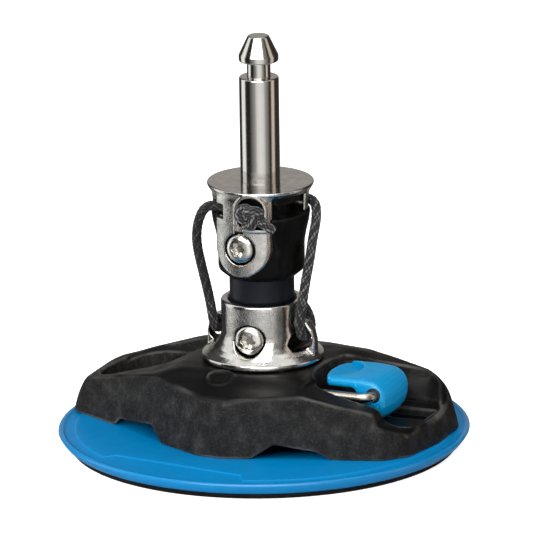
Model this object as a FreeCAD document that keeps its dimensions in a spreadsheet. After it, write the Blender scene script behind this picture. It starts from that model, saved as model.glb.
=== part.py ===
import FreeCAD, Part
import math
import os
import re

import Sketcher
from FreeCAD import Placement, Rotation, Vector

# Mast foot on a vacuum disc. The disc lies on z = 0 with its middle at the origin, +Z runs up the
# mast pin and the bridge's long axis is X, with the cam lever at +X. Millimetres.

doc = FreeCAD.newDocument("mast_foot")
sheet = doc.addObject("Spreadsheet::Sheet", "dims")

# Driving sizes
SIZES = {
    # disc and pad
    "disc_radius": 82.5,
    "rim_level": 6.8,
    "foot_level": 7.2,
    "plateau_radius": 75.6,
    "hub_hole_radius": 26.0,
    "pad_radius": 77.9,
    "pad_rim_thickness": 2.4,
    "pad_bond_width": 5.9,
    "pad_thickness": 2.2,
    "pad_rise": 1.9,
    "disc_thickness": 2.3,
    # lift train
    "lift_plate_radius": 20.0,
    "lift_plate_thickness": 2.2,
    "stud_radius": 4.0,
    "stud_nut_radius": 7.5,
    "stud_nut_height": 6.5,
    "bar_length": 41.0,
    "bar_width": 7.0,
    "bar_under": 4.5,
    "bar_over": 3.7,
    "bar_hole_play": 0.45,
    # bail and lever
    "wire_radius": 2.0,
    "wire_bend": 4.3,
    "wire_level": 28.5,
    "bail_half_width": 18.0,
    "bail_pivot_reach": 20.0,
    "crossbar_reach": 53.0,
    "trunnion_gap": 3.0,
    "running_fit": 0.05,
    "bush_wall": 0.95,
    "lever_width": 27.0,
    "lever_round": 5.8,
    "tab_reach": 23.0,
    "tab_thickness": 3.7,
    "tab_arc_radius": 27.8,
    "cam_gap": 0.3,
    "cam_back": 4.0,
    "wear_plate_thickness": 1.0,
    "wear_plate_length": 9.5,
    # bridge
    "bridge_end_distance": 23.0,
    "bridge_half_width": 48.9,
    "bay_floor": 17.0,
    "bay_floor_thickness": 3.5,
    "hub_level": 36.5,
    "hub_plate": 4.0,
    "wall_draft": 8.0,
    "cavity_half_length": 24.5,
    "cavity_half_width": 21.0,
    "rib_half_width": 8.4,
    "rib_length": 9.0,
    "tunnel_half_width": 2.7,
    "tunnel_drop": 7.0,
    "slot_width": 14.0,
    "slot_length": 14.5,
    "arch_height": 5.6,
    "arch_outer_height": 3.0,
    # screws
    "small_screw_radius": 2.5,
    "small_head_radius": 4.6,
    "bridge_screw_length": 10.5,
    "collar_screw_circle": 19.0,
    "cross_screw_radius": 3.0,
    "cross_head_radius": 6.0,
    "cross_head_height": 3.2,
    "seat_play": 0.55,
    "sleeve_radius": 5.0,
    "sleeve_half_length": 11.8,
    # collar
    "collar_flange_radius": 24.4,
    "collar_flange_thickness": 3.5,
    "collar_radius": 16.6,
    "collar_top": 60.9,
    "collar_floor": 2.2,
    "tendon_play": 0.3,
    "lower_screw_level": 46.9,
    "lower_seat": 15.0,
    "lug_reach": 22.3,
    "lug_half_width": 2.6,
    "lug_top": 52.3,
    "lug_hole_reach": 18.2,
    "lug_hole_level": 45.8,
    "lug_hole_radius": 3.7,
    "collar_turn": 3.5,
    # tendon, cup and yoke
    "tendon_radius": 13.0,
    "tendon_top": 96.0,
    "cup_bottom": 72.7,
    "cup_radius": 17.4,
    "cup_shoulder_radius": 19.6,
    "cup_core_radius": 12.6,
    "line_groove_level": 100.5,
    "line_groove_height": 5.2,
    "upper_screw_level": 85.8,
    "upper_seat": 18.2,
    "yoke_radius": 21.4,
    "yoke_thickness": 3.0,
    "yoke_top": 109.3,
    "ear_inner_radius": 17.0,
    "ear_outer_radius": 20.8,
    "ear_half_width": 11.8,
    "ear_play": 0.2,
    "skirt_inner_radius": 17.9,
    "window_half_width": 5.3,
    "window_bottom": 94.7,
    "yoke_turn": -3.0,
    # pin
    "pin_radius": 8.0,
    "pin_shoulder": 152.3,
    "pin_neck_radius": 4.75,
    "pin_head_bottom": 158.7,
    "pin_head_cone": 161.2,
    "pin_top": 169.2,
    "pin_top_radius": 4.2,
    "pin_stub_radius": 5.0,
    "pin_nut_radius": 8.6,
    "pin_nut_height": 4.8,
    "washer_thickness": 1.2,
    # safety line
    "line_radius": 2.0,
    "knot_radius": 4.9,
}
for row, (alias, value) in enumerate(SIZES.items(), start=1):
    sheet.set("A%d" % row, alias)
    sheet.set("B%d" % row, str(value))
    sheet.setAlias("B%d" % row, alias)
doc.recompute()

pieces = []


def size(alias):
    """One size read from the sheet."""
    return float(sheet.get(alias))


def in_sheet(text):
    """An expression whose size names point to the sheet's cells."""
    return re.sub(
        r"[a-z][a-z_]+",
        lambda word: "dims." + word.group(0) if word.group(0) in SIZES else word.group(0),
        str(text),
    )


def bind(thing, **properties):
    """Binds properties of an object to expressions in the sheet."""
    for name, text in properties.items():
        thing.setExpression(name, in_sheet(text))


def place(thing, x=0, y=0, z=0):
    """Binds the place of an object's own origin."""
    for axis, text in (("x", x), ("y", y), ("z", z)):
        thing.setExpression("Placement.Base." + axis, in_sheet(text))


def turn(thing, angle):
    """Turns a finished object about Z by an angle from the sheet."""
    thing.Placement = Placement(Vector(0, 0, 0), Rotation(Vector(0, 0, 1), 1))
    thing.setExpression("Placement.Rotation.Angle", in_sheet(angle))


def keep(thing, label):
    """Names a finished sub-part."""
    thing.Label = label
    pieces.append(thing)
    return thing


# Primitives and booleans
def block(x_low, x_high, y_low, y_high, z_low, z_high):
    """A box between bounds that are expressions."""
    box = doc.addObject("Part::Box", "block")
    bind(
        box,
        Length="(%s) - (%s)" % (x_high, x_low),
        Width="(%s) - (%s)" % (y_high, y_low),
        Height="(%s) - (%s)" % (z_high, z_low),
    )
    place(box, x_low, y_low, z_low)
    return box


AXES = {
    "X": Rotation(Vector(0, 1, 0), 90),
    "Y": Rotation(Vector(1, 0, 0), -90),
    "Z": Rotation(),
}


def cylinder(radius, length, x=0, y=0, z=0, axis="Z"):
    """A cylinder that runs from its place along an axis."""
    rod = doc.addObject("Part::Cylinder", "rod")
    bind(rod, Radius=radius, Height=length)
    rod.Placement = Placement(Vector(0, 0, 0), AXES[axis])
    place(rod, x, y, z)
    return rod


def cone(low_radius, high_radius, length, x, y, z):
    """A cone frustum along Z."""
    frustum = doc.addObject("Part::Cone", "frustum")
    bind(frustum, Radius1=low_radius, Radius2=high_radius, Height=length)
    place(frustum, x, y, z)
    return frustum


def ball(radius, x, y, z):
    """A sphere."""
    sphere = doc.addObject("Part::Sphere", "ball")
    bind(sphere, Radius=radius)
    place(sphere, x, y, z)
    return sphere


def hexagon(radius, height, z):
    """A six-sided prism on the Z axis."""
    prism = doc.addObject("Part::Prism", "hexagon")
    prism.Polygon = 6
    bind(prism, Circumradius=radius, Height=height)
    place(prism, z=z)
    return prism


def fuse(*parts):
    """The union of several objects."""
    union = doc.addObject("Part::MultiFuse", "union")
    union.Shapes = list(parts)
    return union


def cut(base, *tools):
    """A base less one or more tools."""
    rest = doc.addObject("Part::Cut", "rest")
    rest.Base = base
    rest.Tool = tools[0] if len(tools) == 1 else fuse(*tools)
    return rest


def common(base, tool):
    """What two objects share."""
    shared = doc.addObject("Part::Common", "shared")
    shared.Base = base
    shared.Tool = tool
    return shared


def group(*parts):
    """Separate solids that make one node."""
    solids = doc.addObject("Part::Compound", "solids")
    solids.Links = list(parts)
    return solids


# Sketched bodies
def sketch_on(body, role):
    """An empty sketch on one of a body's own origin planes."""
    sketch = body.newObject("Sketcher::SketchObject", "sketch")
    plane = next(f for f in body.Origin.OriginFeatures if f.Role == role)
    sketch.AttachmentSupport = [(plane, "")]
    sketch.MapMode = "FlatFace"
    return sketch


def hold(sketch, kind, *where):
    """A constraint whose value, given last, is an expression."""
    index = sketch.addConstraint(Sketcher.Constraint(kind, *where[:-1], 1.0))
    sketch.setExpression("Constraints[%d]" % index, in_sheet(where[-1]))


def outline(body, role, points):
    """A closed polygon whose corners are held by expressions."""
    sketch = sketch_on(body, role)
    count = len(points)
    start = [
        Vector(math.cos(2 * math.pi * k / count), math.sin(2 * math.pi * k / count), 0)
        for k in range(count)
    ]
    for k in range(count):
        sketch.addGeometry(Part.LineSegment(start[k], start[(k + 1) % count]))
    for k in range(count):
        sketch.addConstraint(Sketcher.Constraint("Coincident", k, 2, (k + 1) % count, 1))
    for k, (across, up) in enumerate(points):
        hold(sketch, "DistanceX", -1, 1, k, 1, across)
        hold(sketch, "DistanceY", -1, 1, k, 1, up)
    return sketch


def circle(body, role, across, up, radius):
    """A circle held by expressions."""
    sketch = sketch_on(body, role)
    sketch.addGeometry(Part.Circle(Vector(0, 0, 0), Vector(0, 0, 1), 1))
    hold(sketch, "Radius", 0, radius)
    hold(sketch, "DistanceX", -1, 1, 0, 3, across)
    hold(sketch, "DistanceY", -1, 1, 0, 3, up)
    return sketch


def turned(points, angle=360):
    """A body turned about Z from an outline in radius and height."""
    body = doc.addObject("PartDesign::Body", "turned")
    sketch = outline(body, "XZ_Plane", points)
    lathe = body.newObject("PartDesign::Revolution", "turning")
    lathe.Profile = sketch
    lathe.ReferenceAxis = (sketch, ["V_Axis"])
    lathe.Midplane = angle != 360
    lathe.Angle = angle
    return body


def extruded(role, points, length, draft=None):
    """A body extruded both ways from an origin plane, or upwards with a draft angle."""
    body = doc.addObject("PartDesign::Body", "extruded")
    sketch = outline(body, role, points)
    pad = body.newObject("PartDesign::Pad", "pad")
    pad.Profile = sketch
    pad.Midplane = draft is None
    pad.setExpression("Length", in_sheet(length))
    if draft:
        pad.setExpression("TaperAngle", in_sheet(draft))
    return body


# Suction pad: bonded to the disc at its rim, drawn up in the middle while the lever is closed
pad_middle = "pad_rise + pad_thickness"
bond_radius = "pad_radius - pad_bond_width"
keep(
    turned(
        [
            ("0", "pad_rise"),
            ("lift_plate_radius + 2", "pad_rise"),
            (bond_radius + " - 6", "0"),
            ("pad_radius - 0.6", "0"),
            ("pad_radius", "0.6"),
            ("pad_radius", "pad_rim_thickness"),
            (bond_radius, "pad_rim_thickness"),
            ("lift_plate_radius + 4", pad_middle),
            ("0", pad_middle),
        ]
    ),
    "suction_pad",
)

# Blue disc: a plate with a bevelled lip, a stepped plateau and an open middle
disc_plate = turned(
    [
        ("hub_hole_radius", "foot_level - disc_thickness"),
        (bond_radius, "pad_rim_thickness"),
        ("pad_radius + 1.6", "pad_rim_thickness"),
        ("disc_radius - 0.6", "rim_level - 1.2"),
        ("disc_radius", "rim_level"),
        ("plateau_radius + 0.8", "rim_level - 0.1"),
        ("plateau_radius", "foot_level"),
        ("hub_hole_radius", "foot_level"),
    ]
)

# Six countersunk screws come up through the disc into the bridge
head_height = "(small_head_radius - small_screw_radius)"
screw_base = "foot_level - disc_thickness - 0.1"


def bridge_screw(x, y):
    """One countersunk screw, head down."""
    return fuse(
        cone("small_head_radius", "small_screw_radius", head_height, x, y, screw_base),
        cylinder("small_screw_radius", "bridge_screw_length", x, y, screw_base),
    )


web_reach = "cavity_half_length + 6.5"
BRIDGE_SCREWS = [
    ("0", "-(cavity_half_width + 15)"),
    ("0", "cavity_half_width + 15"),
    (web_reach, "12"),
    (web_reach, "-12"),
    ("-(%s)" % web_reach, "12"),
    ("-(%s)" % web_reach, "-12"),
]
screws = [bridge_screw(x, y) for x, y in BRIDGE_SCREWS]
keep(group(*screws), "bridge_screws")
keep(cut(disc_plate, *[bridge_screw(x, y) for x, y in BRIDGE_SCREWS]), "base_disc")

# Bridge: the plan outline, the long profile and the cross profile share one solid
def along(share):
    """A distance from the middle as a share of the bridge's half length."""
    return "%.3f * (crossbar_reach + bridge_end_distance)" % share


def across(share):
    """A distance from the middle as a share of the bridge's half width."""
    return "%.3f * bridge_half_width" % share


PLAN = [
    (-1.032, -0.080),
    (-1.010, -0.160),
    (-0.938, -0.245),
    (-0.736, -0.429),
    (-0.370, -0.789),
    (-0.114, -0.990),
    (0.034, -1.000),
    (0.174, -0.933),
    (0.579, -0.740),
    (0.842, -0.618),
    (0.942, -0.434),
    (1.000, 0.035),
    (0.980, 0.501),
    (0.921, 0.634),
    (0.684, 0.695),
    (0.370, 0.828),
    (0.114, 0.990),
    (-0.034, 1.000),
    (-0.174, 0.933),
    (-0.579, 0.740),
    (-0.816, 0.634),
    (-0.934, 0.491),
    (-1.010, 0.204),
]
plan_points = [(along(x), across(y)) for x, y in PLAN]
plan_solid = extruded("XY_Plane", plan_points, "hub_level + 4 - foot_level", "-wall_draft")
place(plan_solid, z="foot_level")
hub_edge = "collar_flange_radius + 0.8"
long_solid = extruded(
    "XZ_Plane",
    [
        (along(-1.040), "foot_level - 1"),
        (along(-1.040), "foot_level + 0.6"),
        (along(-0.989), "foot_level + 10.4"),
        (along(-0.952), "hub_level - 13.7"),
        (along(-0.855), "hub_level - 11.9"),
        (along(-0.711), "hub_level - 8.7"),
        (along(-0.474), "hub_level - 3.7"),
        ("-(%s) - 2" % hub_edge, "hub_level - 0.4"),
        ("-(%s)" % hub_edge, "hub_level"),
        (hub_edge, "hub_level"),
        (hub_edge + " + 2", "hub_level - 0.4"),
        (along(0.474), "hub_level - 4.1"),
        (along(0.684), "hub_level - 6.3"),
        (along(0.816), "hub_level - 8.3"),
        (along(0.875), "hub_level - 11"),
        (along(0.921), "hub_level - 15.5"),
        (along(0.947), "hub_level - 19.5"),
        (along(1.013), "foot_level + 0.6"),
        (along(1.013), "foot_level - 1"),
    ],
    "120",
)
cross_solid = extruded(
    "YZ_Plane",
    [
        (across(-1.063), "foot_level - 1"),
        (across(-1.063), "hub_level - 14"),
        (across(-0.920), "hub_level - 5.8"),
        (across(-0.654), "hub_level - 3.3"),
        ("-(%s) - 1" % hub_edge, "hub_level"),
        ("%s + 1" % hub_edge, "hub_level"),
        (across(0.654), "hub_level - 3.3"),
        (across(0.920), "hub_level - 5.8"),
        (across(1.063), "hub_level - 14"),
        (across(1.063), "foot_level - 1"),
    ],
    "170",
)
bridge_outside = common(common(plan_solid, long_solid), cross_solid)

# The front wall of the lever bay falls towards the end
front_fall = extruded(
    "XZ_Plane",
    [
        (along(0.447), "hub_level - 5"),
        (along(0.592), "hub_level - 8.1"),
        (along(0.737), "hub_level - 10.9"),
        (along(0.829), "hub_level - 14.1"),
        (along(0.895), "bay_floor"),
        (along(1.053), "bay_floor"),
        (along(1.053), "hub_level + 9"),
        (along(0.447), "hub_level + 9"),
    ],
    "40",
)
place(front_fall, y="-bail_half_width - 21.5")

# The end beside the lever is cut down to the bay floor, and rises again to the rear wall
end_fall = extruded(
    "YZ_Plane",
    [
        (across(-1.1), "bay_floor"),
        (across(0.240), "bay_floor"),
        (across(0.420), "bay_floor + 2"),
        (across(0.540), "bay_floor + 5.5"),
        (across(0.600), "hub_level - 10"),
        (across(0.600), "hub_level + 9"),
        (across(-1.1), "hub_level + 9"),
    ],
    "bridge_end_distance",
)
place(end_fall, x="crossbar_reach + 12.5 + bridge_end_distance / 2")

# Bays, open at the top
lever_bay = extruded(
    "XY_Plane",
    [
        ("crossbar_reach - tab_reach + 3", "-(bail_half_width + 2.8)"),
        ("crossbar_reach - tab_reach - 1.2", "-lever_width / 2 - 0.5"),
        ("crossbar_reach - tab_reach - 2.8", "-7"),
        ("crossbar_reach - tab_reach - 3.2", "0"),
        ("crossbar_reach - tab_reach - 2.6", "8"),
        ("crossbar_reach - tab_reach - 0.5", "lever_width / 2 + 1.5"),
        ("crossbar_reach - tab_reach + 3", "bail_half_width + 1"),
        ("crossbar_reach - tab_reach + 7", "bail_half_width + 2.8"),
        ("crossbar_reach + 10", "bail_half_width + 2.8"),
        ("crossbar_reach + 14.5", "bail_half_width + 1.2"),
        ("crossbar_reach + 17.5", "lever_width / 2 + 0.5"),
        ("crossbar_reach + 18.5", "4"),
        ("crossbar_reach + 18", "-5"),
        ("crossbar_reach + 16", "-lever_width / 2 + 0.5"),
        ("crossbar_reach + 12", "-(bail_half_width + 1.5)"),
        ("crossbar_reach + 9", "-(bail_half_width + 2.8)"),
    ],
    "60",
)
place(lever_bay, z="bay_floor + 30")
left_bay = extruded(
    "XY_Plane",
    [
        (along(-0.388), across(0.430)),
        (along(-0.408), across(0.150)),
        (along(-0.458), across(-0.060)),
        (along(-0.510), across(-0.184)),
        (along(-0.570), across(-0.215)),
        (along(-0.790), across(-0.215)),
        (along(-0.860), across(-0.180)),
        (along(-0.905), across(-0.080)),
        (along(-0.912), across(0.100)),
        (along(-0.885), across(0.300)),
        (along(-0.800), across(0.420)),
        (along(-0.700), across(0.480)),
        (along(-0.450), across(0.520)),
    ],
    "60",
)
place(left_bay, z="bay_floor + 30")

# Hollows under the hub and the bay floors, foot arches and lashing slots
deep = "foot_level - 2"
hub_ceiling = "hub_level - hub_plate"
hub_cavity = block(
    "-cavity_half_length", "cavity_half_length", "-cavity_half_width", "cavity_half_width",
    deep, hub_ceiling,
)
pocket_top = "bay_floor - bay_floor_thickness"
pocket_low = "cavity_half_length + 13"
pocket_high = "crossbar_reach + bridge_end_distance - 10"
slot_high = "crossbar_reach + 16.5"
slot_low = "crossbar_reach + 16.5 - slot_length"
slot_roof = "bay_floor + 3"
hollows = [
    hub_cavity,
    block(pocket_low, pocket_high, "-16", "16", deep, pocket_top),
    block("-(%s)" % pocket_high, "-(%s)" % pocket_low, "-11", "16", deep, pocket_top),
    block(slot_low, slot_high, "-1.5", "slot_width - 1.5", deep, slot_roof),
    block("-(%s)" % slot_high, "-(%s)" % slot_low, "-6", "slot_width - 6", deep, slot_roof),
]
ARCHES = [
    [(-0.739, ""), (-0.704, "arch_outer_height"), (-0.461, "arch_height"), (-0.376, "")],
    [(0.174, ""), (0.284, "arch_height"), (0.500, "arch_outer_height"), (0.575, "")],
]
for half_turn in (1, -1):
    for arch in ARCHES:
        low, high = arch[0][0], arch[-1][0]
        points = [(along(half_turn * low), deep)]
        points += [(along(half_turn * x), "foot_level" + (" + " + rise if rise else "")) for x, rise in arch]
        points.append((along(half_turn * high), deep))
        foot_arch = extruded("XZ_Plane", points, "0.7 * bridge_half_width")
        place(foot_arch, y="%d * 0.69 * bridge_half_width" % -half_turn)
        hollows.append(foot_arch)
for side in (-1, 1):
    middle = "%d * bail_half_width" % side
    hollows.append(
        block(
            "cavity_half_length - 2",
            "cavity_half_length + 12",
            middle + " - tunnel_half_width",
            middle + " + tunnel_half_width",
            "wire_level - tunnel_drop",
            "wire_level + tunnel_half_width",
        )
    )
wear_seat_low = "crossbar_reach - wear_plate_length + 0.7"
wear_seat_high = "crossbar_reach + 0.7"


def wear_solid():
    """The steel plate let into the bay floor under the cam."""
    return block(
        wear_seat_low,
        wear_seat_high,
        "-lever_width / 2",
        "lever_width / 2",
        "bay_floor - wear_plate_thickness",
        "bay_floor",
    )


hollows.append(wear_solid())
keep(wear_solid(), "wear_plate")

# Countersunk screws from the hub cavity up into the collar flange
COLLAR_SCREW_ANGLES = (45, 135, 225, 315)


def collar_screw(angle):
    """One countersunk screw under the collar flange."""
    x = "collar_screw_circle * %.9f" % math.cos(math.radians(angle))
    y = "collar_screw_circle * %.9f" % math.sin(math.radians(angle))
    return fuse(
        cone("small_head_radius", "small_screw_radius", head_height, x, y, hub_ceiling),
        cylinder("small_screw_radius", "hub_plate + collar_flange_thickness - 1", x, y, hub_ceiling),
    )


keep(group(*[collar_screw(angle) for angle in COLLAR_SCREW_ANGLES]), "collar_screws")
hollows += [collar_screw(angle) for angle in COLLAR_SCREW_ANGLES]
hollows += [bridge_screw(x, y) for x, y in BRIDGE_SCREWS]

# A rib across the hub cavity carries the bail's turned-in ends
rib = block(
    "-bail_pivot_reach - rib_length / 2",
    "-bail_pivot_reach + rib_length / 2",
    "-rib_half_width",
    "rib_half_width",
    "wire_level - 9",
    hub_ceiling + " + 0.5",
)
trunnion_bore = cylinder(
    "wire_radius + running_fit", "2 * rib_half_width + 2",
    "-bail_pivot_reach", "-rib_half_width - 1", "wire_level", axis="Y",
)
bridge_shell = cut(bridge_outside, front_fall, end_fall, lever_bay, left_bay, *hollows)
keep(cut(fuse(bridge_shell, rib), trunnion_bore), "bridge")

# Bail: one bent wire, a crossbar, two arms and two turned-in ends
wire = []
bend_start = "bail_half_width - wire_bend"
wire.append(
    cylinder("wire_radius", "2 * (%s)" % bend_start, "crossbar_reach", "-(%s)" % bend_start,
             "wire_level", axis="Y")
)
for side in (-1, 1):
    wire.append(
        cylinder("wire_radius", "crossbar_reach + bail_pivot_reach - 2 * wire_bend",
                 "-bail_pivot_reach + wire_bend", "%d * bail_half_width" % side, "wire_level", axis="X")
    )
    low = "trunnion_gap" if side > 0 else "-(%s)" % bend_start
    wire.append(
        cylinder("wire_radius", "(%s) - trunnion_gap" % bend_start, "-bail_pivot_reach", low,
                 "wire_level", axis="Y")
    )
    for reach, angle in (("crossbar_reach - wire_bend", 0 if side > 0 else 270),
                         ("-bail_pivot_reach + wire_bend", 90 if side > 0 else 180)):
        bend = doc.addObject("Part::Torus", "bend")
        bind(bend, Radius1="wire_bend", Radius2="wire_radius")
        bend.Angle3 = 90
        bend.Placement = Placement(Vector(0, 0, 0), Rotation(Vector(0, 0, 1), angle))
        place(bend, reach, "%d * (%s)" % (side, bend_start), "wire_level")
        wire.append(bend)
keep(fuse(*wire), "bail")

# Cam lever: a round boss about the crossbar, a cam foot and a thumb tab that points at the hub
lever_block = extruded(
    "XZ_Plane",
    [
        ("crossbar_reach - tab_reach", "wire_level + lever_round - tab_thickness"),
        ("crossbar_reach - 8", "wire_level + lever_round - tab_thickness"),
        ("crossbar_reach - 6", "wire_level - 4"),
        ("crossbar_reach - cam_back", "bay_floor + cam_gap"),
        ("crossbar_reach", "bay_floor + cam_gap"),
        ("crossbar_reach + 3", "bay_floor + cam_gap + 1.3"),
        ("crossbar_reach + lever_round - 0.4", "wire_level - 6"),
        ("crossbar_reach + lever_round", "wire_level"),
        ("crossbar_reach", "wire_level + lever_round"),
        ("crossbar_reach - tab_reach", "wire_level + lever_round"),
    ],
    "lever_width",
)
lever_boss = cylinder(
    "lever_round", "lever_width", "crossbar_reach", "-lever_width / 2", "wire_level", axis="Y"
)
lever_plan = cylinder(
    "tab_arc_radius", "60", "crossbar_reach - tab_reach + tab_arc_radius", "0", "0"
)
bush_radius = "wire_radius + running_fit + bush_wall"
thumb_dish = ball(
    "16", "crossbar_reach - tab_reach + 7", "0", "wire_level + lever_round + 16 - tab_thickness / 3"
)
lever_bore = cylinder(
    bush_radius, "lever_width + 2", "crossbar_reach", "-lever_width / 2 - 1", "wire_level", axis="Y"
)
keep(
    cut(common(fuse(lever_block, lever_boss), lever_plan), thumb_dish, lever_bore),
    "cam_lever",
)
bush_length = "lever_width - 0.6"
keep(
    cut(
        cylinder(bush_radius, bush_length, "crossbar_reach", "-(%s) / 2" % bush_length,
                 "wire_level", axis="Y"),
        cylinder("wire_radius + running_fit", "lever_width", "crossbar_reach",
                 "-lever_width / 2", "wire_level", axis="Y"),
    ),
    "lever_bush",
)

# Lift train: a bar across the bail's arms, a stud, its nut and the plate on the pad
bar_bottom = "wire_level - bar_under"
bar = block("-bar_width / 2", "bar_width / 2", "-bar_length / 2", "bar_length / 2",
            bar_bottom, "wire_level + bar_over")
arm_holes = [
    cylinder("wire_radius + bar_hole_play", "bar_width + 2", "-bar_width / 2 - 1",
             "%d * bail_half_width" % side, "wire_level", axis="X")
    for side in (-1, 1)
]
plate_top = "pad_rise + pad_thickness + lift_plate_thickness"
stud_length = "wire_level + bar_over - 0.5 - (%s)" % plate_top


def stud():
    """The stud's own space, also cut from what it passes through."""
    return cylinder("stud_radius", stud_length, "0", "0", plate_top)


keep(cut(bar, stud(), *arm_holes), "lift_bar")
keep(stud(), "lift_stud")
keep(
    cut(
        hexagon("stud_nut_radius", "stud_nut_height", "%s - stud_nut_height" % bar_bottom),
        stud(),
    ),
    "lift_nut",
)
keep(cylinder("lift_plate_radius", "lift_plate_thickness", "0", "0", "pad_rise + pad_thickness"),
     "lift_plate")


# Cross screws: pan head with a six-lobed recess, along their own Z with the seat at zero
def cross_screw(seat, level, side, name):
    """One cross screw whose head sits at a distance from the axis on one side."""
    length = "(%s) - sleeve_half_length + 8" % seat
    body = turned(
        [
            ("0", "-(%s)" % length),
            ("cross_screw_radius", "-(%s)" % length),
            ("cross_screw_radius", "0"),
            ("cross_head_radius - 0.3", "0"),
            ("cross_head_radius", "0.3"),
            ("cross_head_radius", "cross_head_height * 0.4"),
            ("cross_head_radius * 0.8", "cross_head_height * 0.85"),
            ("cross_head_radius * 0.55", "cross_head_height"),
            ("0", "cross_head_height"),
        ]
    )
    body.Label = name
    middle = body.newObject("PartDesign::Pocket", "recess")
    sketch = circle(body, "XY_Plane", "0", "0", "cross_screw_radius * 0.62")
    sketch.setExpression("AttachmentOffset.Base.z", in_sheet("cross_head_height + 1"))
    middle.Profile = sketch
    middle.setExpression("Length", in_sheet("cross_head_height"))
    lobe = body.newObject("PartDesign::Pocket", "lobe")
    sketch = circle(body, "XY_Plane", "cross_screw_radius * 0.62", "0", "cross_screw_radius * 0.24")
    sketch.setExpression("AttachmentOffset.Base.z", in_sheet("cross_head_height + 1"))
    lobe.Profile = sketch
    lobe.setExpression("Length", in_sheet("cross_head_height"))
    lobes = body.newObject("PartDesign::PolarPattern", "lobes")
    lobes.Originals = [lobe]
    lobes.Angle = 360
    lobes.Occurrences = 6
    axis = next(f for f in body.Origin.OriginFeatures if f.Role == "Z_Axis")
    lobes.Axis = (axis, [""])
    body.Tip = lobes
    body.Placement = Placement(Vector(0, 0, 0), Rotation(Vector(1, 0, 0), -90 * side))
    place(body, "0", "%d * (%s)" % (side, seat), level)
    return body


def screw_pair(seat, level, turn_by, label):
    """The front and the rear cross screw of one level, as one node."""
    pair = group(cross_screw(seat, level, -1, label + "_front"),
                 cross_screw(seat, level, 1, label + "_rear"))
    turn(pair, turn_by)
    return keep(pair, label)


screw_pair("upper_seat", "upper_screw_level", "yoke_turn", "upper_cross_screws")
screw_pair("lower_seat", "lower_screw_level", "collar_turn", "lower_cross_screws")


def sleeve(level, turn_by, label):
    """A threaded sleeve across the tendon."""
    tube = cut(
        cylinder("sleeve_radius", "2 * sleeve_half_length", "0", "-sleeve_half_length", level, axis="Y"),
        cylinder("cross_screw_radius", "2 * sleeve_half_length + 2", "0", "-sleeve_half_length - 1",
                 level, axis="Y"),
    )
    turn(tube, turn_by)
    return keep(tube, label)


sleeve("upper_screw_level", "yoke_turn", "upper_sleeve")
sleeve("lower_screw_level", "collar_turn", "lower_sleeve")


def sleeve_hole(level, turn_by):
    """The hole that a sleeve fills, turned with its screws."""
    hole = cylinder("sleeve_radius", "40", "0", "-20", level, axis="Y")
    turned_hole = group(hole)
    turn(turned_hole, turn_by)
    return turned_hole


# Tendon
tendon_bottom = "hub_level + collar_floor + 0.2"
keep(
    cut(
        cylinder("tendon_radius", "tendon_top - (%s)" % tendon_bottom, "0", "0", tendon_bottom),
        sleeve_hole("upper_screw_level", "yoke_turn"),
        sleeve_hole("lower_screw_level", "collar_turn"),
    ),
    "tendon",
)

# Collar: flange, flared foot, ring, screw seats and two line lugs
bore = "tendon_radius + tendon_play"
flange_top = "hub_level + collar_flange_thickness"
collar_ring = turned(
    [
        ("cross_screw_radius + 2", "hub_level"),
        ("collar_flange_radius", "hub_level"),
        ("collar_flange_radius", "hub_level + 1.7"),
        ("collar_flange_radius - 0.9", "hub_level + 2.4"),
        ("collar_flange_radius - 4.2", flange_top + " + 1.8"),
        ("collar_radius + 1.2", flange_top + " + 4.7"),
        ("collar_radius", flange_top + " + 6.8"),
        ("collar_radius", "collar_top - 0.6"),
        ("collar_radius - 0.6", "collar_top"),
        (bore + " + 0.9", "collar_top"),
        (bore, "collar_top - 1.1"),
        (bore, "hub_level + collar_floor"),
        ("cross_screw_radius + 2", "hub_level + collar_floor"),
    ]
)
lugs = []
for side in (-1, 1):
    lug = extruded(
        "XZ_Plane",
        [
            ("%d * (collar_radius - 1.6)" % side, flange_top + " - 1"),
            ("%d * lug_reach" % side, flange_top + " - 1"),
            ("%d * (lug_reach + 0.1)" % side, "lug_hole_level - 1"),
            ("%d * (lug_reach - 0.7)" % side, "lug_hole_level + 3"),
            ("%d * (lug_reach - 3)" % side, "lug_top"),
            ("%d * (collar_radius - 1.6)" % side, "lug_top + 1.5"),
        ],
        "2 * lug_half_width",
    )
    lugs.append(lug)
lug_holes = [
    cylinder("lug_hole_radius", "2 * lug_half_width + 8", "%d * lug_hole_reach" % side,
             "-lug_half_width - 4", "lug_hole_level", axis="Y")
    for side in (-1, 1)
]
seats = []
for low in ("lower_seat", "-lower_seat - 8"):
    seats.append(cylinder("cross_head_radius + seat_play", "8", "0", low, "lower_screw_level", axis="Y"))
seats.append(cylinder("cross_screw_radius", "50", "0", "-25", "lower_screw_level", axis="Y"))
turned_seats = fuse(*seats)
seat_cut = group(turned_seats)
turn(seat_cut, "collar_turn")
keep(
    cut(
        fuse(collar_ring, *lugs),
        cylinder(bore, "40", "0", "0", "hub_level + collar_floor"),
        *lug_holes,
        seat_cut,
        *[collar_screw(angle) for angle in COLLAR_SCREW_ANGLES],
    ),
    "collar",
)

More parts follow.
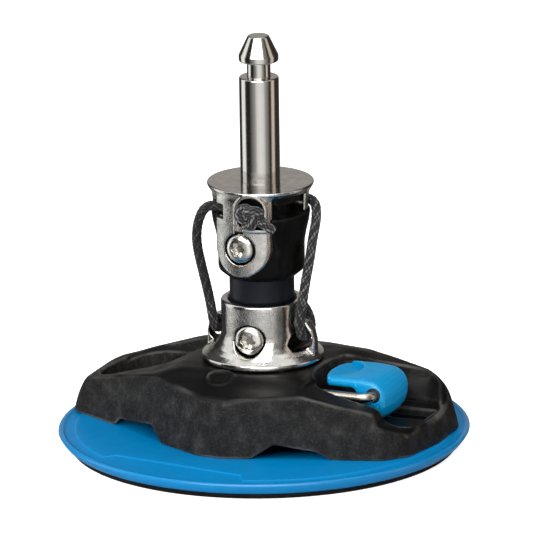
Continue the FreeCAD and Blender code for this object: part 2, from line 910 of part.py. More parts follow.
# Cup: bore for the tendon, a groove that leads the line behind the ears and a pocket for the nut
cup_top = "yoke_top - yoke_thickness"
groove_low = "line_groove_level - line_groove_height / 2"
groove_high = "line_groove_level + line_groove_height / 2"
nut_pocket = "pin_nut_radius + 0.8"
cup_core = turned(
    [
        (bore, "cup_bottom"),
        (bore + " + 0.6", "cup_bottom"),
        ("cup_radius - 1.1", "cup_bottom + 2.8"),
        ("cup_radius", "cup_bottom + 15"),
        ("cup_radius", groove_low),
        ("cup_core_radius", groove_low),
        ("cup_core_radius", groove_high),
        ("cup_radius", groove_high),
        ("cup_radius", cup_top),
        (nut_pocket, cup_top),
        (nut_pocket, "tendon_top + 3"),
        ("0", "tendon_top + 3"),
        ("0", "tendon_top + 0.2"),
        (bore, "tendon_top + 0.2"),
    ]
)
cup_shoulder = turned(
    [
        ("cup_radius - 0.5", "cup_bottom + 15"),
        ("cup_radius", "cup_bottom + 15"),
        ("cup_shoulder_radius", "cup_bottom + 18.3"),
        ("cup_shoulder_radius", groove_low + " - 0.9"),
        ("cup_shoulder_radius - 0.9", groove_low),
        ("cup_radius - 0.5", groove_low),
    ]
)


def ear_space(inner, half_width, low, high, name):
    """The space between two cylinders that an ear fills at the front and the rear."""
    slab = block("-(%s)" % half_width, half_width, "-30", "30", low, high)
    slab.Label = name
    return cut(slab, cylinder(inner, "200", "0", "0", "0"))


cup = cut(
    fuse(cup_core, cup_shoulder),
    ear_space("ear_inner_radius - ear_play", "ear_half_width + ear_play",
              "upper_screw_level - ear_half_width - ear_play - 2", cup_top + " + 1", "cup_ear_pocket"),
    cylinder("cross_screw_radius", "60", "0", "-30", "upper_screw_level", axis="Y"),
)
turn(cup, "yoke_turn")
keep(cup, "tendon_cup")

# Yoke: flange, two skirts that hang from it and two ears with a window each
yoke_flange = turned(
    [
        ("pin_stub_radius", cup_top),
        ("yoke_radius - 1.8", cup_top),
        ("yoke_radius", "yoke_top - 1"),
        ("yoke_radius", "yoke_top - 0.3"),
        ("yoke_radius - 0.3", "yoke_top"),
        ("pin_stub_radius", "yoke_top"),
    ]
)
SKIRT_SWEEP = 138
SKIRT_MIDDLE = -120
skirts = []
for half_turn in (0, 180):
    skirt = turned(
        [
            ("skirt_inner_radius", groove_low + " + 0.3"),
            ("skirt_inner_radius + 1", groove_low + " + 0.3"),
            ("skirt_inner_radius + 1.4", cup_top + " - 3.4"),
            ("yoke_radius - 1.8", cup_top + " - 0.8"),
            ("yoke_radius - 0.9", cup_top + " + 1"),
            ("skirt_inner_radius", cup_top + " + 1"),
        ],
        SKIRT_SWEEP,
    )
    skirt.Placement = Placement(
        Vector(0, 0, 0), Rotation(Vector(0, 0, 1), SKIRT_MIDDLE + half_turn)
    )
    skirts.append(skirt)
ear_profile = fuse(
    block("-ear_half_width", "ear_half_width", "-30", "30", "upper_screw_level", cup_top + " + 1"),
    cylinder("ear_half_width", "60", "0", "-30", "upper_screw_level", axis="Y"),
)
ear_ring = cut(
    cylinder("ear_outer_radius", "60", "0", "0", "cup_bottom - 4"),
    cylinder("ear_inner_radius", "80", "0", "0", "cup_bottom - 14"),
)
ears = common(ear_ring, ear_profile)

WINDOW_ANGLE = 14
LINE_EXIT_ANGLE = -40
yoke_cuts = []
for half_turn in (0, 180):
    arch = "yoke_top - 1.9 - window_half_width"
    window = group(
        fuse(
            block("-window_half_width", "window_half_width", "-30", "-14", "window_bottom", arch),
            cylinder("window_half_width", "16", "0", "-30", arch, axis="Y"),
        )
    )
    window.Placement = Placement(
        Vector(0, 0, 0), Rotation(Vector(0, 0, 1), WINDOW_ANGLE + half_turn)
    )
    yoke_cuts.append(window)
    line_exit = group(
        block("-6.5", "6.5", "-30", "-14", groove_low + " - 0.5", groove_high)
    )
    line_exit.Placement = Placement(
        Vector(0, 0, 0), Rotation(Vector(0, 0, 1), LINE_EXIT_ANGLE + half_turn)
    )
    yoke_cuts.append(line_exit)
for low in ("upper_seat", "-upper_seat - 8"):
    yoke_cuts.append(
        cylinder("cross_head_radius + seat_play", "8", "0", low, "upper_screw_level", axis="Y")
    )
    yoke_cuts.append(
        block("-1.9", "1.9", low, "(%s) + 8" % low, "upper_screw_level", "window_bottom + 1")
    )
yoke_cuts.append(cylinder("cross_screw_radius", "60", "0", "-30", "upper_screw_level", axis="Y"))
yoke = cut(fuse(yoke_flange, ears, *skirts), *yoke_cuts)
turn(yoke, "yoke_turn")
keep(yoke, "yoke")

# Mast pin with its stub, washer and nut
stub_bottom = "%s - washer_thickness - pin_nut_height - 0.8" % cup_top
keep(
    turned(
        [
            ("0", stub_bottom),
            ("pin_stub_radius", stub_bottom),
            ("pin_stub_radius", "yoke_top"),
            ("pin_radius", "yoke_top"),
            ("pin_radius", "pin_shoulder - 0.6"),
            ("pin_radius - 0.6", "pin_shoulder"),
            ("pin_neck_radius", "pin_shoulder"),
            ("pin_neck_radius", "pin_head_bottom"),
            ("pin_radius - 1.2", "pin_head_bottom"),
            ("pin_radius", "pin_head_bottom + 1"),
            ("pin_radius", "pin_head_cone"),
            ("pin_top_radius", "pin_top - 0.4"),
            ("pin_top_radius - 0.4", "pin_top"),
            ("0", "pin_top"),
        ]
    ),
    "mast_pin",
)
washer_low = "%s - washer_thickness" % cup_top
keep(
    cut(
        cylinder("pin_nut_radius", "washer_thickness", "0", "0", washer_low),
        cylinder("pin_stub_radius", "20", "0", "0", "%s - 10" % washer_low),
    ),
    "pin_washer",
)
keep(
    cut(
        hexagon("pin_nut_radius", "pin_nut_height", "%s - pin_nut_height" % washer_low),
        cylinder("pin_stub_radius", "20", "0", "0", "%s - 10" % washer_low),
    ),
    "pin_nut",
)


# Safety line: straight runs joined by tangent arcs
def tube_along(label, points, radius):
    """A round tube along a route whose corners are tangent arcs."""
    route = [Vector(*p) for p in points]
    edges = []
    start = route[0]
    radii = []
    for before, corner, after in zip(route, route[1:], route[2:]):
        back = before.sub(corner)
        ahead = after.sub(corner)
        reach = 0.45 * min(back.Length, ahead.Length)
        back.normalize()
        ahead.normalize()
        turn_angle = math.pi - back.getAngle(ahead)
        entry = corner.add(Vector(back).multiply(reach))
        leave = corner.add(Vector(ahead).multiply(reach))
        arc_radius = reach / math.tan(turn_angle / 2)
        radii.append(round(arc_radius, 1))
        bisector = back.add(ahead)
        bisector.normalize()
        centre_distance = math.hypot(arc_radius, reach)
        middle = corner.add(bisector.multiply(centre_distance - arc_radius))
        edges.append(Part.LineSegment(start, entry).toShape())
        edges.append(Part.Arc(entry, middle, leave).toShape())
        start = leave
    edges.append(Part.LineSegment(start, route[-1]).toShape())
    path = Part.Wire(edges)
    heading = route[1].sub(route[0])
    section = Part.Wire([Part.Circle(route[0], heading, radius).toShape()])
    tube = path.makePipeShell([section], True, False)
    solid = Part.Solid(tube) if tube.ShapeType == "Shell" else tube
    if solid.Volume < 0:
        solid.reverse()
    expected = math.pi * radius * radius * path.Length
    print(label, "length", round(path.Length, 1), "radii", radii,
          "volume share", round(solid.Volume / expected, 4))
    feature = doc.addObject("Part::Feature", label)
    feature.Shape = solid
    return keep(feature, label)


def polar(radius, angle, z):
    """A point about the mast axis."""
    return (radius * math.cos(math.radians(angle)), radius * math.sin(math.radians(angle)), z)


groove_mid = size("line_groove_level")
in_groove = (size("cup_core_radius") + size("ear_inner_radius")) / 2
LEFT_STRAND = [
    polar(in_groove + 0.1, -92, groove_mid),
    polar(in_groove + 0.55, -117, groove_mid),
    polar(in_groove + 1.7, -137, groove_mid),
    polar(22.2, -149.5, groove_mid - 0.5),
    (-23.4, -9.6, 92.6),
    (-24.9, -8.0, 83.5),
    (-23.4, -6.6, 73.5),
    (-21.6, -5.6, 64.6),
    (-20.9, -5.2, 60.4),
]
RIGHT_STRAND = [
    polar(in_groove + 0.1, 88, groove_mid),
    polar(in_groove + 0.55, 63, groove_mid),
    polar(in_groove + 1.7, 45, groove_mid),
    polar(22.0, 29, groove_mid - 0.5),
    (22.2, 4.8, 94.6),
    (22.2, 0.4, 87.6),
    (21.6, -1.9, 78.2),
    (20.1, -3.3, 69.2),
    (19.2, -4.4, 60.4),
]
LOWER_LINE = [
    (-20.9, -5.2, 60.4),
    (-20.2, -4.8, 56.2),
    (-19.0, -5.6, 50.4),
    (-18.6, -3.2, 46.6),
    (-18.6, 3.4, 46.4),
    (-18.1, 7.4, 48.0),
    (-16.0, 11.2, 50.8),
    (-12.4, 15.4, 54.0),
    (-7.2, 18.5, 56.2),
    (-0.8, 19.7, 56.7),
    (5.8, 18.9, 56.0),
    (11.8, 15.8, 53.8),
    (15.9, 11.4, 50.8),
    (18.1, 7.4, 48.0),
    (18.6, 3.4, 46.4),
    (18.6, -3.2, 46.6),
    (18.6, -5.8, 50.6),
    (18.75, -4.95, 56.0),
    (19.2, -4.4, 60.4),
]
line_radius = size("line_radius")
tube_along("line_left", LEFT_STRAND, line_radius)
tube_along("line_right", RIGHT_STRAND, line_radius)
tube_along("line_lower", LOWER_LINE, line_radius)


# Stopper knots in the ear windows: the ball, the leg that goes in through the window and the tail
def rod_between(start, end):
    """A rod of the line's thickness between two points."""
    way = end.sub(start)
    rod = doc.addObject("Part::Cylinder", "line_end")
    bind(rod, Radius="line_radius")
    rod.Height = way.Length
    rod.Placement = Placement(start, Rotation(Vector(0, 0, 1), way))
    return rod


def knot(label, half_turn):
    """One stopper knot, turned half round for the rear."""
    window_angle = WINDOW_ANGLE + size("yoke_turn") - 90
    centre = Vector(*polar(size("ear_outer_radius") + 0.5, window_angle, groove_mid + 0.1))
    leg_end = Vector(*polar(in_groove - 1.2, window_angle, groove_mid + 0.1))
    tail_end = Vector(12.6, -20.6, 95.6)
    middle = doc.addObject("Part::Sphere", "knot_ball")
    bind(middle, Radius="knot_radius")
    middle.Placement = Placement(centre, Rotation(Vector(0, 0, 1), -60))
    whole = fuse(middle, rod_between(centre, leg_end), rod_between(centre, tail_end))
    whole.Placement = Placement(Vector(0, 0, 0), Rotation(Vector(0, 0, 1), half_turn))
    return keep(whole, label)


knot("knot_front", 0)
knot("knot_rear", 180)

doc.recompute()
broken = [o.Name + " " + str(o.State) for o in doc.Objects if {"Invalid", "Error"} & set(o.State)]
for piece in pieces:
    if piece.Shape.isNull() or not piece.Shape.isValid() or not piece.Shape.Solids:
        broken.append(piece.Label)
if broken:
    raise RuntimeError("these failed: " + ", ".join(broken))
os.makedirs("parts", exist_ok=True)
for piece in pieces:
    piece.Shape.exportStep("parts/%s.step" % piece.Label)
    box = piece.Shape.BoundBox
    print(
        "%-20s solids %d volume %.1f  x %.1f %.1f  y %.1f %.1f  z %.1f %.1f"
        % (piece.Label, len(piece.Shape.Solids), piece.Shape.Volume,
           box.XMin, box.XMax, box.YMin, box.YMax, box.ZMin, box.ZMax)
    )
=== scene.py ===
import math

import bmesh
import bpy
import numpy as np
from mathutils import Matrix, Vector


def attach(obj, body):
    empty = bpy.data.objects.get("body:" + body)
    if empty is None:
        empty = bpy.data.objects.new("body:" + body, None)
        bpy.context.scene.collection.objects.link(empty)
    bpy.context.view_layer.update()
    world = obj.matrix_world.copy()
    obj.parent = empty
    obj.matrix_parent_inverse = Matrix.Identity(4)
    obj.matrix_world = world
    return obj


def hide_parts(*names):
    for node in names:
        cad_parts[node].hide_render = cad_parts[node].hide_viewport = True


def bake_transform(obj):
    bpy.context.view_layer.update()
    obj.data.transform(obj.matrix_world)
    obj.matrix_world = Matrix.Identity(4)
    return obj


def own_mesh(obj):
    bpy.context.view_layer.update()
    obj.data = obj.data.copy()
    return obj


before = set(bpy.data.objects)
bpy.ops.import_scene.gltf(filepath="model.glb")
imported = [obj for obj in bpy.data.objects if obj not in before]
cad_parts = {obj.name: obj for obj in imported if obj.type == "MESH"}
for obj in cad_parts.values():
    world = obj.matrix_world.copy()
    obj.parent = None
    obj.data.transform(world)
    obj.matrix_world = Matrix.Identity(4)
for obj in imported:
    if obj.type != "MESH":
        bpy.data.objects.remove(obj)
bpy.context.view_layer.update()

MM = 0.001
CAMERA_AZIMUTH = 23.0
CAMERA_ELEVATION = 16.2
CAMERA_ROLL = 0.85
PIXELS_PER_MM = 2.4933
IMAGE_SIDE = 533
BASE_PIXEL = (264.3, 442.0)
CAMERA_DISTANCE = 6000.0


# Camera: long lens, framed so that the middle of the disc falls on its pixel
def make_camera():
    """The camera at the photograph's angle."""
    azimuth = math.radians(CAMERA_AZIMUTH)
    elevation = math.radians(CAMERA_ELEVATION)
    roll = math.radians(CAMERA_ROLL)
    back = Vector((math.sin(azimuth) * math.cos(elevation),
                   -math.cos(azimuth) * math.cos(elevation), math.sin(elevation)))
    level_right = Vector((math.cos(azimuth), math.sin(azimuth), 0))
    level_up = back.cross(level_right)
    right = level_right * math.cos(roll) - level_up * math.sin(roll)
    up = level_right * math.sin(roll) + level_up * math.cos(roll)
    across = (IMAGE_SIDE / 2 - BASE_PIXEL[0]) / PIXELS_PER_MM
    above = (BASE_PIXEL[1] - IMAGE_SIDE / 2) / PIXELS_PER_MM
    aim = right * across + up * above
    place = (aim + back * CAMERA_DISTANCE) * MM
    turn = Matrix((right, up, back)).transposed().to_4x4()
    data = bpy.data.cameras.new("camera")
    data.sensor_width = 36.0
    data.lens = 36.0 * CAMERA_DISTANCE * PIXELS_PER_MM / IMAGE_SIDE
    data.clip_start = 0.1
    data.clip_end = 100.0
    camera = bpy.data.objects.new("camera", data)
    camera.matrix_world = Matrix.Translation(place) @ turn
    bpy.context.collection.objects.link(camera)
    bpy.context.scene.camera = camera


make_camera()


# Meshes
def mesh_object(name, points, faces):
    """A smooth-shaded object from points in millimetres and faces."""
    mesh = bpy.data.meshes.new(name)
    points = np.asarray(points, float) * MM
    mesh.from_pydata(points.tolist(), [], [list(map(int, face)) for face in faces])
    mesh.validate()
    mesh.update()
    mesh.polygons.foreach_set("use_smooth", [True] * len(mesh.polygons))
    thing = bpy.data.objects.new(name, mesh)
    bpy.context.collection.objects.link(thing)
    return thing


def lathe(name, profile, segments):
    """A body of revolution about Z from radius and height pairs, with its poles closed."""
    points, faces, rings = [], [], []
    for radius, height in profile:
        count = segments if radius > 1e-6 else 1
        rings.append([len(points) + k for k in range(count)])
        angles = [2 * math.pi * k / segments for k in range(count)]
        points += [(radius * math.cos(angle), radius * math.sin(angle), height) for angle in angles]
    for low, high in zip(rings, rings[1:]):
        for k in range(segments):
            n = (k + 1) % segments
            if len(low) == 1:
                faces.append((low[0], high[n], high[k]))
            elif len(high) == 1:
                faces.append((low[k], low[n], high[0]))
            else:
                faces.append((low[k], low[n], high[n], high[k]))
    return mesh_object(name, points, faces)


def rounded(profile, radius, steps=4):
    """A profile whose corners are rounded, each by its own radius or a shared one."""
    result = [profile[0][:2]]
    for before, corner, after in zip(profile, profile[1:], profile[2:]):
        own = corner[2] if len(corner) > 2 else radius
        p = np.array(corner[:2], float)
        a = np.array(before[:2], float) - p
        b = np.array(after[:2], float) - p
        la, lb = np.linalg.norm(a), np.linalg.norm(b)
        if own <= 0 or la < 1e-9 or lb < 1e-9:
            result.append(tuple(p))
            continue
        a, b = a / la, b / lb
        half = math.acos(max(-1, min(1, float(a @ b)))) / 2
        reach = min(own / math.tan(half) if half > 1e-3 else 0, 0.48 * la, 0.48 * lb)
        if half > math.pi / 2 - 1e-3 or reach < 1e-4:
            result.append(tuple(p))
            continue
        for k in range(steps + 1):
            t = k / steps
            q = (1 - t) ** 2 * (p + a * reach) + 2 * t * (1 - t) * p + t * t * (p + b * reach)
            result.append(tuple(q))
    result.append(profile[-1][:2])
    return result


# Distance fields: each takes the coordinate arrays and gives millimetres, negative inside
def join(a, b, blend=0.0):
    """Union, with a rounded inner corner."""
    if np.ndim(blend) == 0 and blend <= 0:
        return np.minimum(a, b)
    h = np.maximum(blend - np.abs(a - b), 0) / blend
    return np.minimum(a, b) - h * h * blend / 4


def meet(a, b, blend=0.0):
    """Intersection, with a rounded outer corner."""
    return -join(-a, -b, blend)


def less(a, b, blend=0.0):
    """Difference, with a rounded rim."""
    return -join(-a, b, blend)


def box_field(x, y, z, low, high, corner=0.0):
    """A box with rounded edges."""
    middle = [(low[k] + high[k]) / 2 for k in range(3)]
    half = [(high[k] - low[k]) / 2 - corner for k in range(3)]
    qx = np.abs(x - middle[0]) - half[0]
    qy = np.abs(y - middle[1]) - half[1]
    qz = np.abs(z - middle[2]) - half[2]
    outside = np.sqrt(np.maximum(qx, 0) ** 2 + np.maximum(qy, 0) ** 2 + np.maximum(qz, 0) ** 2)
    return outside + np.minimum(np.maximum(qx, np.maximum(qy, qz)), 0) - corner


def polygon_field(u, v, corners):
    """Signed distance to a closed polygon in a plane."""
    corners = np.array(corners, float)
    count = len(corners)
    u, v = np.broadcast_arrays(u, v)
    best = np.full(u.shape, 1e9, np.float32)
    sign = np.ones(u.shape, np.float32)
    for k in range(count):
        a, b = corners[k], corners[(k + 1) % count]
        edge = b - a
        wu, wv = u - a[0], v - a[1]
        t = np.clip((wu * edge[0] + wv * edge[1]) / (edge @ edge), 0, 1)
        du, dv = wu - edge[0] * t, wv - edge[1] * t
        best = np.minimum(best, du * du + dv * dv)
        c1, c2, c3 = v >= a[1], v < b[1], edge[0] * wv > edge[1] * wu
        flip = (c1 & c2 & c3) | (~c1 & ~c2 & ~c3)
        sign = np.where(flip, -sign, sign)
    return sign * np.sqrt(best)


def net(name, field, low, high, step):
    """The zero surface of a field in a box as a mesh of quads, drawn onto the surface."""
    axes = [np.arange(low[k], high[k] + step, step, dtype=np.float32) for k in range(3)]
    x, y, z = np.meshgrid(*axes, indexing="ij", sparse=True)
    value = np.broadcast_to(field(x, y, z), (x.size, y.size, z.size)).astype(np.float32)
    for axis in range(3):
        for end in (0, -1):
            index = [slice(None)] * 3
            index[axis] = end
            value[tuple(index)] = np.maximum(value[tuple(index)], 0.01 * step)
    shape = np.array(value.shape)
    cells, spots, quads = [], [], []
    for axis in range(3):
        first = [slice(None)] * 3
        second = [slice(None)] * 3
        first[axis], second[axis] = slice(0, -1), slice(1, None)
        a, b = value[tuple(first)], value[tuple(second)]
        where = np.stack(np.nonzero((a < 0) != (b < 0)), 1)
        va, vb = a[tuple(where.T)], b[tuple(where.T)]
        spot = where.astype(np.float64)
        spot[:, axis] += va / (va - vb)
        u, v = [(1, 2), (2, 0), (0, 1)][axis]
        corners = []
        for du, dv in ((0, 0), (-1, 0), (-1, -1), (0, -1)):
            cell = where.copy()
            cell[:, u] += du
            cell[:, v] += dv
            corners.append(np.ravel_multi_index(tuple(cell.T), tuple(shape)))
            cells.append(corners[-1])
            spots.append(spot)
        quad = np.stack(corners, 1)
        quads.append(np.where((va < 0)[:, None], quad, quad[:, ::-1]))
    cells = np.concatenate(cells)
    spots = np.concatenate(spots)
    unique, inverse, count = np.unique(cells, return_inverse=True, return_counts=True)
    inverse = inverse.ravel()
    points = np.stack([np.bincount(inverse, spots[:, k]) / count for k in range(3)], 1)
    faces = np.searchsorted(unique, np.concatenate(quads))

    def read(p):
        """The field's value between the grid's points."""
        base = np.clip(np.floor(p).astype(int), 0, shape - 2)
        f = p - base
        total = 0
        for i in (0, 1):
            for j in (0, 1):
                for k in (0, 1):
                    weight = abs(1 - i - f[:, 0]) * abs(1 - j - f[:, 1]) * abs(1 - k - f[:, 2])
                    total = total + weight * value[base[:, 0] + i, base[:, 1] + j, base[:, 2] + k]
        return total

    for _ in range(2):
        here = read(points)
        slope = np.stack([read(points + axis / 2) - read(points - axis / 2) for axis in np.eye(3)], 1)
        size = np.maximum((slope ** 2).sum(1), 0.05)
        shift = slope * (here / size)[:, None]
        length = np.maximum(np.linalg.norm(shift, axis=1), 1e-9)
        points = points - shift * np.minimum(1, 0.5 / length)[:, None]
    return mesh_object(name, np.array(low) + points * step, faces)


def distance(u, v):
    """Distance from the origin of a plane."""
    return np.sqrt(u ** 2 + v ** 2)


def turned_frame(x, y, degrees):
    """Coordinates in a frame that is turned about Z."""
    c, s = math.cos(math.radians(degrees)), math.sin(math.radians(degrees))
    return x * c + y * s, y * c - x * s


# Values per vertex, for the materials
def smooth_step(value, low, high):
    """Nought to one between two places."""
    t = np.clip((value - low) / (high - low), 0, 1)
    return t * t * (3 - 2 * t)


def vertex_places(thing):
    """Where a mesh's vertices are, as three rows in millimetres."""
    places = np.empty(len(thing.data.vertices) * 3, np.float32)
    thing.data.vertices.foreach_get("co", places)
    return places.reshape(-1, 3).T / MM


def mark(thing, name, values):
    """Writes one value per vertex, for a material to read."""
    attribute = thing.data.attributes.new(name, "FLOAT", "POINT")
    attribute.data.foreach_set("value", np.asarray(values, np.float32))


def bulge(thing, field, reach):
    """How much a shape's field bends outward at each vertex: 0 on a flat, more on a sharp crest."""
    x, y, z = vertex_places(thing).astype(float)
    total = -6 * field(x, y, z)
    for dx, dy, dz in ((reach, 0, 0), (0, reach, 0), (0, 0, reach)):
        total += field(x + dx, y + dy, z + dz) + field(x - dx, y - dy, z - dz)
    return total / reach


# Materials. The helpers work in the node tree of their owner, a material or the world
def new_material(name, colour, rough, metal=0.0, shine=0.5):
    """A principled material with its constants on the shader's own sockets."""
    material = bpy.data.materials.new(name)
    material.use_nodes = True
    shader = material.node_tree.nodes["Principled BSDF"]
    shader.inputs["Base Color"].default_value = (*colour, 1)
    shader.inputs["Roughness"].default_value = rough
    shader.inputs["Metallic"].default_value = metal
    shader.inputs["Specular IOR Level"].default_value = shine
    return material, shader


def add(owner, kind, **values):
    """A node whose inputs or settings are given by name."""
    node = owner.node_tree.nodes.new(kind)
    for key, value in values.items():
        if key in node.inputs:
            node.inputs[key].default_value = value
        else:
            setattr(node, key, value)
    return node


def wire(owner, out, into):
    """Joins two sockets."""
    owner.node_tree.links.new(out, into)


def stored(material, name):
    """A value that the mesh keeps at each vertex."""
    return add(material, "ShaderNodeAttribute", attribute_name=name).outputs["Fac"]


def noise(material, scale, detail=3.0, rough=0.5, stretch=(1, 1, 1)):
    """Noise in object space, in cycles per metre."""
    mapping = add(material, "ShaderNodeMapping", Scale=stretch)
    texture = add(material, "ShaderNodeTexNoise", Scale=scale, Detail=detail, Roughness=rough)
    wire(material, add(material, "ShaderNodeTexCoord").outputs["Object"], mapping.inputs["Vector"])
    wire(material, mapping.outputs["Vector"], texture.inputs["Vector"])
    return texture.outputs["Fac"]


def ramp(owner, source, stops):
    """A ramp from a value to colours or greys."""
    node = add(owner, "ShaderNodeValToRGB")
    wire(owner, source, node.inputs["Fac"])
    elements = node.color_ramp.elements
    while len(elements) < len(stops):
        elements.new(0.5)
    for element, (spot, colour) in zip(elements, stops):
        element.position = spot
        if isinstance(colour, (int, float)):
            colour = (colour,) * 3
        element.color = (*colour, 1)
    return node.outputs["Color"]


def cloudy(material, stops, *settings):
    """Noise, by its settings, turned into colours or greys."""
    return ramp(material, noise(material, *settings), stops)


def sharp_edge_mask(material, low, high):
    """Pointiness as a mask for sharp edges: a painted highlight on the lever, paler edges on the cup."""
    geometry = add(material, "ShaderNodeNewGeometry")
    return ramp(material, geometry.outputs["Pointiness"], [(low, 0.0), (high, 1.0)])


def facing_up(material, low, high):
    """Mask of surfaces that face up, from the object's own normals."""
    parts = add(material, "ShaderNodeSeparateXYZ")
    wire(material, add(material, "ShaderNodeTexCoord").outputs["Normal"], parts.inputs[0])
    return ramp(material, parts.outputs["Z"], [(low, 0.0), (high, 1.0)])


def calculate(owner, operation, *values):
    """A sum over sockets and numbers."""
    node = add(owner, "ShaderNodeMath", operation=operation)
    for socket, value in zip(node.inputs, values):
        if isinstance(value, (int, float)):
            socket.default_value = value
        else:
            wire(owner, value, socket)
    return node.outputs[0]


def mix_colour(owner, mask, first, second):
    """A colour mix by a mask; each colour is a socket or a triple."""
    node = add(owner, "ShaderNodeMix", data_type="RGBA")
    wire(owner, mask, node.inputs[0])
    for socket, colour in ((node.inputs[6], first), (node.inputs[7], second)):
        if isinstance(colour, tuple):
            socket.default_value = (*colour, 1)
        else:
            wire(owner, colour, socket)
    return node.outputs[2]


def finish(material, shader, colour, rough, heights, depth):
    """Wires colour, roughness and bump; each height comes with its strength, the depth is in metres."""
    wire(material, colour, shader.inputs["Base Color"])
    if rough is not None:
        wire(material, rough, shader.inputs["Roughness"])
    normal = None
    for height, strength in heights:
        node = add(material, "ShaderNodeBump", Strength=strength, Distance=depth)
        wire(material, height, node.inputs["Height"])
        if normal is not None:
            wire(material, normal, node.inputs["Normal"])
        normal = node.outputs["Normal"]
    wire(material, normal, shader.inputs["Normal"])
    return material


def moulded_blue(name, base, lit, shine, painted_edge_highlight=False):
    """Saturated moulded plastic, faintly mottled, with a fine grain and, on the lever, a painted highlight
    along its sharp edges.
    """
    material, shader = new_material(name, base, 0.42)
    rim = stored(material, "rim")
    wire(material, ramp(material, rim, [(0.0, shine), (1.0, 0.55)]), shader.inputs["Specular IOR Level"])
    colour = cloudy(material, [(0.3, base), (0.75, lit)], 45.0, 4.0)
    if painted_edge_highlight:
        # Painted highlight: the lever's sharp edges are drawn paler than its plastic.
        highlight_colour = tuple(min(1.0, 1.5 * c + 0.02) for c in lit)
        colour = mix_colour(material, sharp_edge_mask(material, 0.51, 0.58), colour, highlight_colour)
    rough = cloudy(material, [(0.3, 0.3), (0.7, 0.45)], 160.0)
    rough = mix_colour(material, rim, rough, (0.22, 0.22, 0.22))
    heights = [(noise(material, 2600.0, 2.0), 0.12), (noise(material, 420.0, 2.0), 0.05)]
    return finish(material, shader, colour, rough, heights, 0.0004)


def grained_black():
    """Moulded black plastic: spark grain and cloudy marks on the walls; smoother on top, and darker there,
    partly from the smoother finish and partly as painted shade.
    """
    material, shader = new_material("bridge_black_plastic", (0.015, 0.015, 0.016), 0.55)
    up = facing_up(material, 0.30, 0.62)
    wire(material, ramp(material, up, [(0.0, 0.2), (1.0, 0.11)]), shader.inputs["Specular IOR Level"])
    wall = cloudy(material, [(0.38, (0.0040, 0.0038, 0.0036)), (0.48, (0.0076, 0.0072, 0.0069)),
                             (0.57, (0.0152, 0.0145, 0.0139)), (0.68, (0.034, 0.0325, 0.0312))],
                  170.0, 8.0, 0.74, (1, 1, 0.75))
    speck = cloudy(material, [(0.5, 0.0), (0.75, 0.5)], 1300.0, 2.0)
    wall = mix_colour(material, speck, wall, (0.040, 0.039, 0.038))
    # Upward faces get a darker colour than the walls: partly the smoother finish, partly painted shade.
    top = cloudy(material, [(0.35, (0.0018, 0.0018, 0.0019)), (0.62, (0.0040, 0.0040, 0.0042)),
                            (0.8, (0.010, 0.010, 0.0102))], 60.0, 6.0, 0.65)
    # Pale crests along the top edges, in patches: partly wear, partly a painted highlight.
    patchy = cloudy(material, [(0.38, 0.05), (0.66, 1.0)], 70.0, 5.0)
    crest = calculate(material, "MULTIPLY", stored(material, "crest"), patchy)
    colour = mix_colour(material, crest, mix_colour(material, up, wall, top), (0.085, 0.082, 0.079))
    rough = mix_colour(material, up, cloudy(material, [(0.3, 0.5), (0.75, 0.66)], 90.0, 4.0),
                       cloudy(material, [(0.3, 0.30), (0.75, 0.46)], 140.0, 4.0))
    grain = calculate(material, "MULTIPLY", noise(material, 1700.0, 3.0, 0.65),
                      calculate(material, "SUBTRACT", 1.0, up))
    return finish(material, shader, colour, rough, [(grain, 0.5), (noise(material, 240.0), 0.10)], 0.0006)


def moulded_cup():
    """Black glass-filled plastic with faint flow marks."""
    material, shader = new_material("cup_black_plastic", (0.004, 0.004, 0.0045), 0.45, shine=0.1)
    colour = cloudy(material, [(0.4, (0.0012, 0.0012, 0.0013)), (0.52, (0.0028, 0.0028, 0.0029)),
                               (0.64, (0.012, 0.012, 0.0118))], 160.0, 6.0, 0.6, (1, 1, 0.4))
    colour = mix_colour(material, sharp_edge_mask(material, 0.52, 0.6), colour, (0.03, 0.03, 0.03))
    rough = cloudy(material, [(0.3, 0.38), (0.75, 0.55)], 300.0)
    heights = [(noise(material, 1500.0), 0.2), (noise(material, 240.0), 0.12)]
    return finish(material, shader, colour, rough, heights, 0.0005)


def cast_metal():
    """Nickel plate over a casting: orange peel, pits, polished areas and recesses drawn dark as painted
    shade.
    """
    material, shader = new_material("cast_nickel", (0.60, 0.585, 0.56), 0.2, 1.0)
    colour = cloudy(material, [(0.3, (0.56, 0.55, 0.53)), (0.8, (0.76, 0.745, 0.72))], 260.0, 4.0)
    # Painted shade: marked recesses, the screw seats and lug holes, are drawn near black.
    colour = mix_colour(material, stored(material, "recess"), colour, (0.035, 0.033, 0.031))
    smooth = calculate(material, "MAXIMUM", facing_up(material, 0.80, 0.97), stored(material, "polish"))
    rough = mix_colour(material, smooth, cloudy(material, [(0.3, 0.17), (0.75, 0.34)], 700.0),
                       cloudy(material, [(0.3, 0.10), (0.75, 0.20)], 400.0))
    uneven = calculate(material, "SUBTRACT", 1.0, smooth)
    fine = calculate(material, "MULTIPLY", noise(material, 1900.0, 3.0, 0.6), uneven)
    broad = calculate(material, "MULTIPLY", noise(material, 420.0, 2.0), uneven)
    heights = [(fine, 0.40), (broad, 0.2), (noise(material, 520.0), 0.09), (noise(material, 90.0, 2.0), 0.05)]
    return finish(material, shader, colour, rough, heights, 0.0006)


def turned_steel(name, colour, rough_low, rough_high, lines):
    """Bright steel with fine turning lines round Z, and a marked recess tinted darker as painted shade."""
    material, shader = new_material(name, colour, rough_low, 1.0)
    lined = noise(material, 1.0, 3.0, 0.6, (40.0, 40.0, 6500.0))
    rough = ramp(material, lined, [(0.3, rough_low), (0.75, rough_high)])
    tint = cloudy(material, [(0.3, tuple(0.94 * c for c in colour)), (0.8, colour)], 120.0)
    # Painted shade: a marked recess gets a darker tint.
    tint = mix_colour(material, stored(material, "recess"), tint, (0.70, 0.67, 0.63))
    return finish(material, shader, tint, rough, [(lined, lines)], 0.0002)


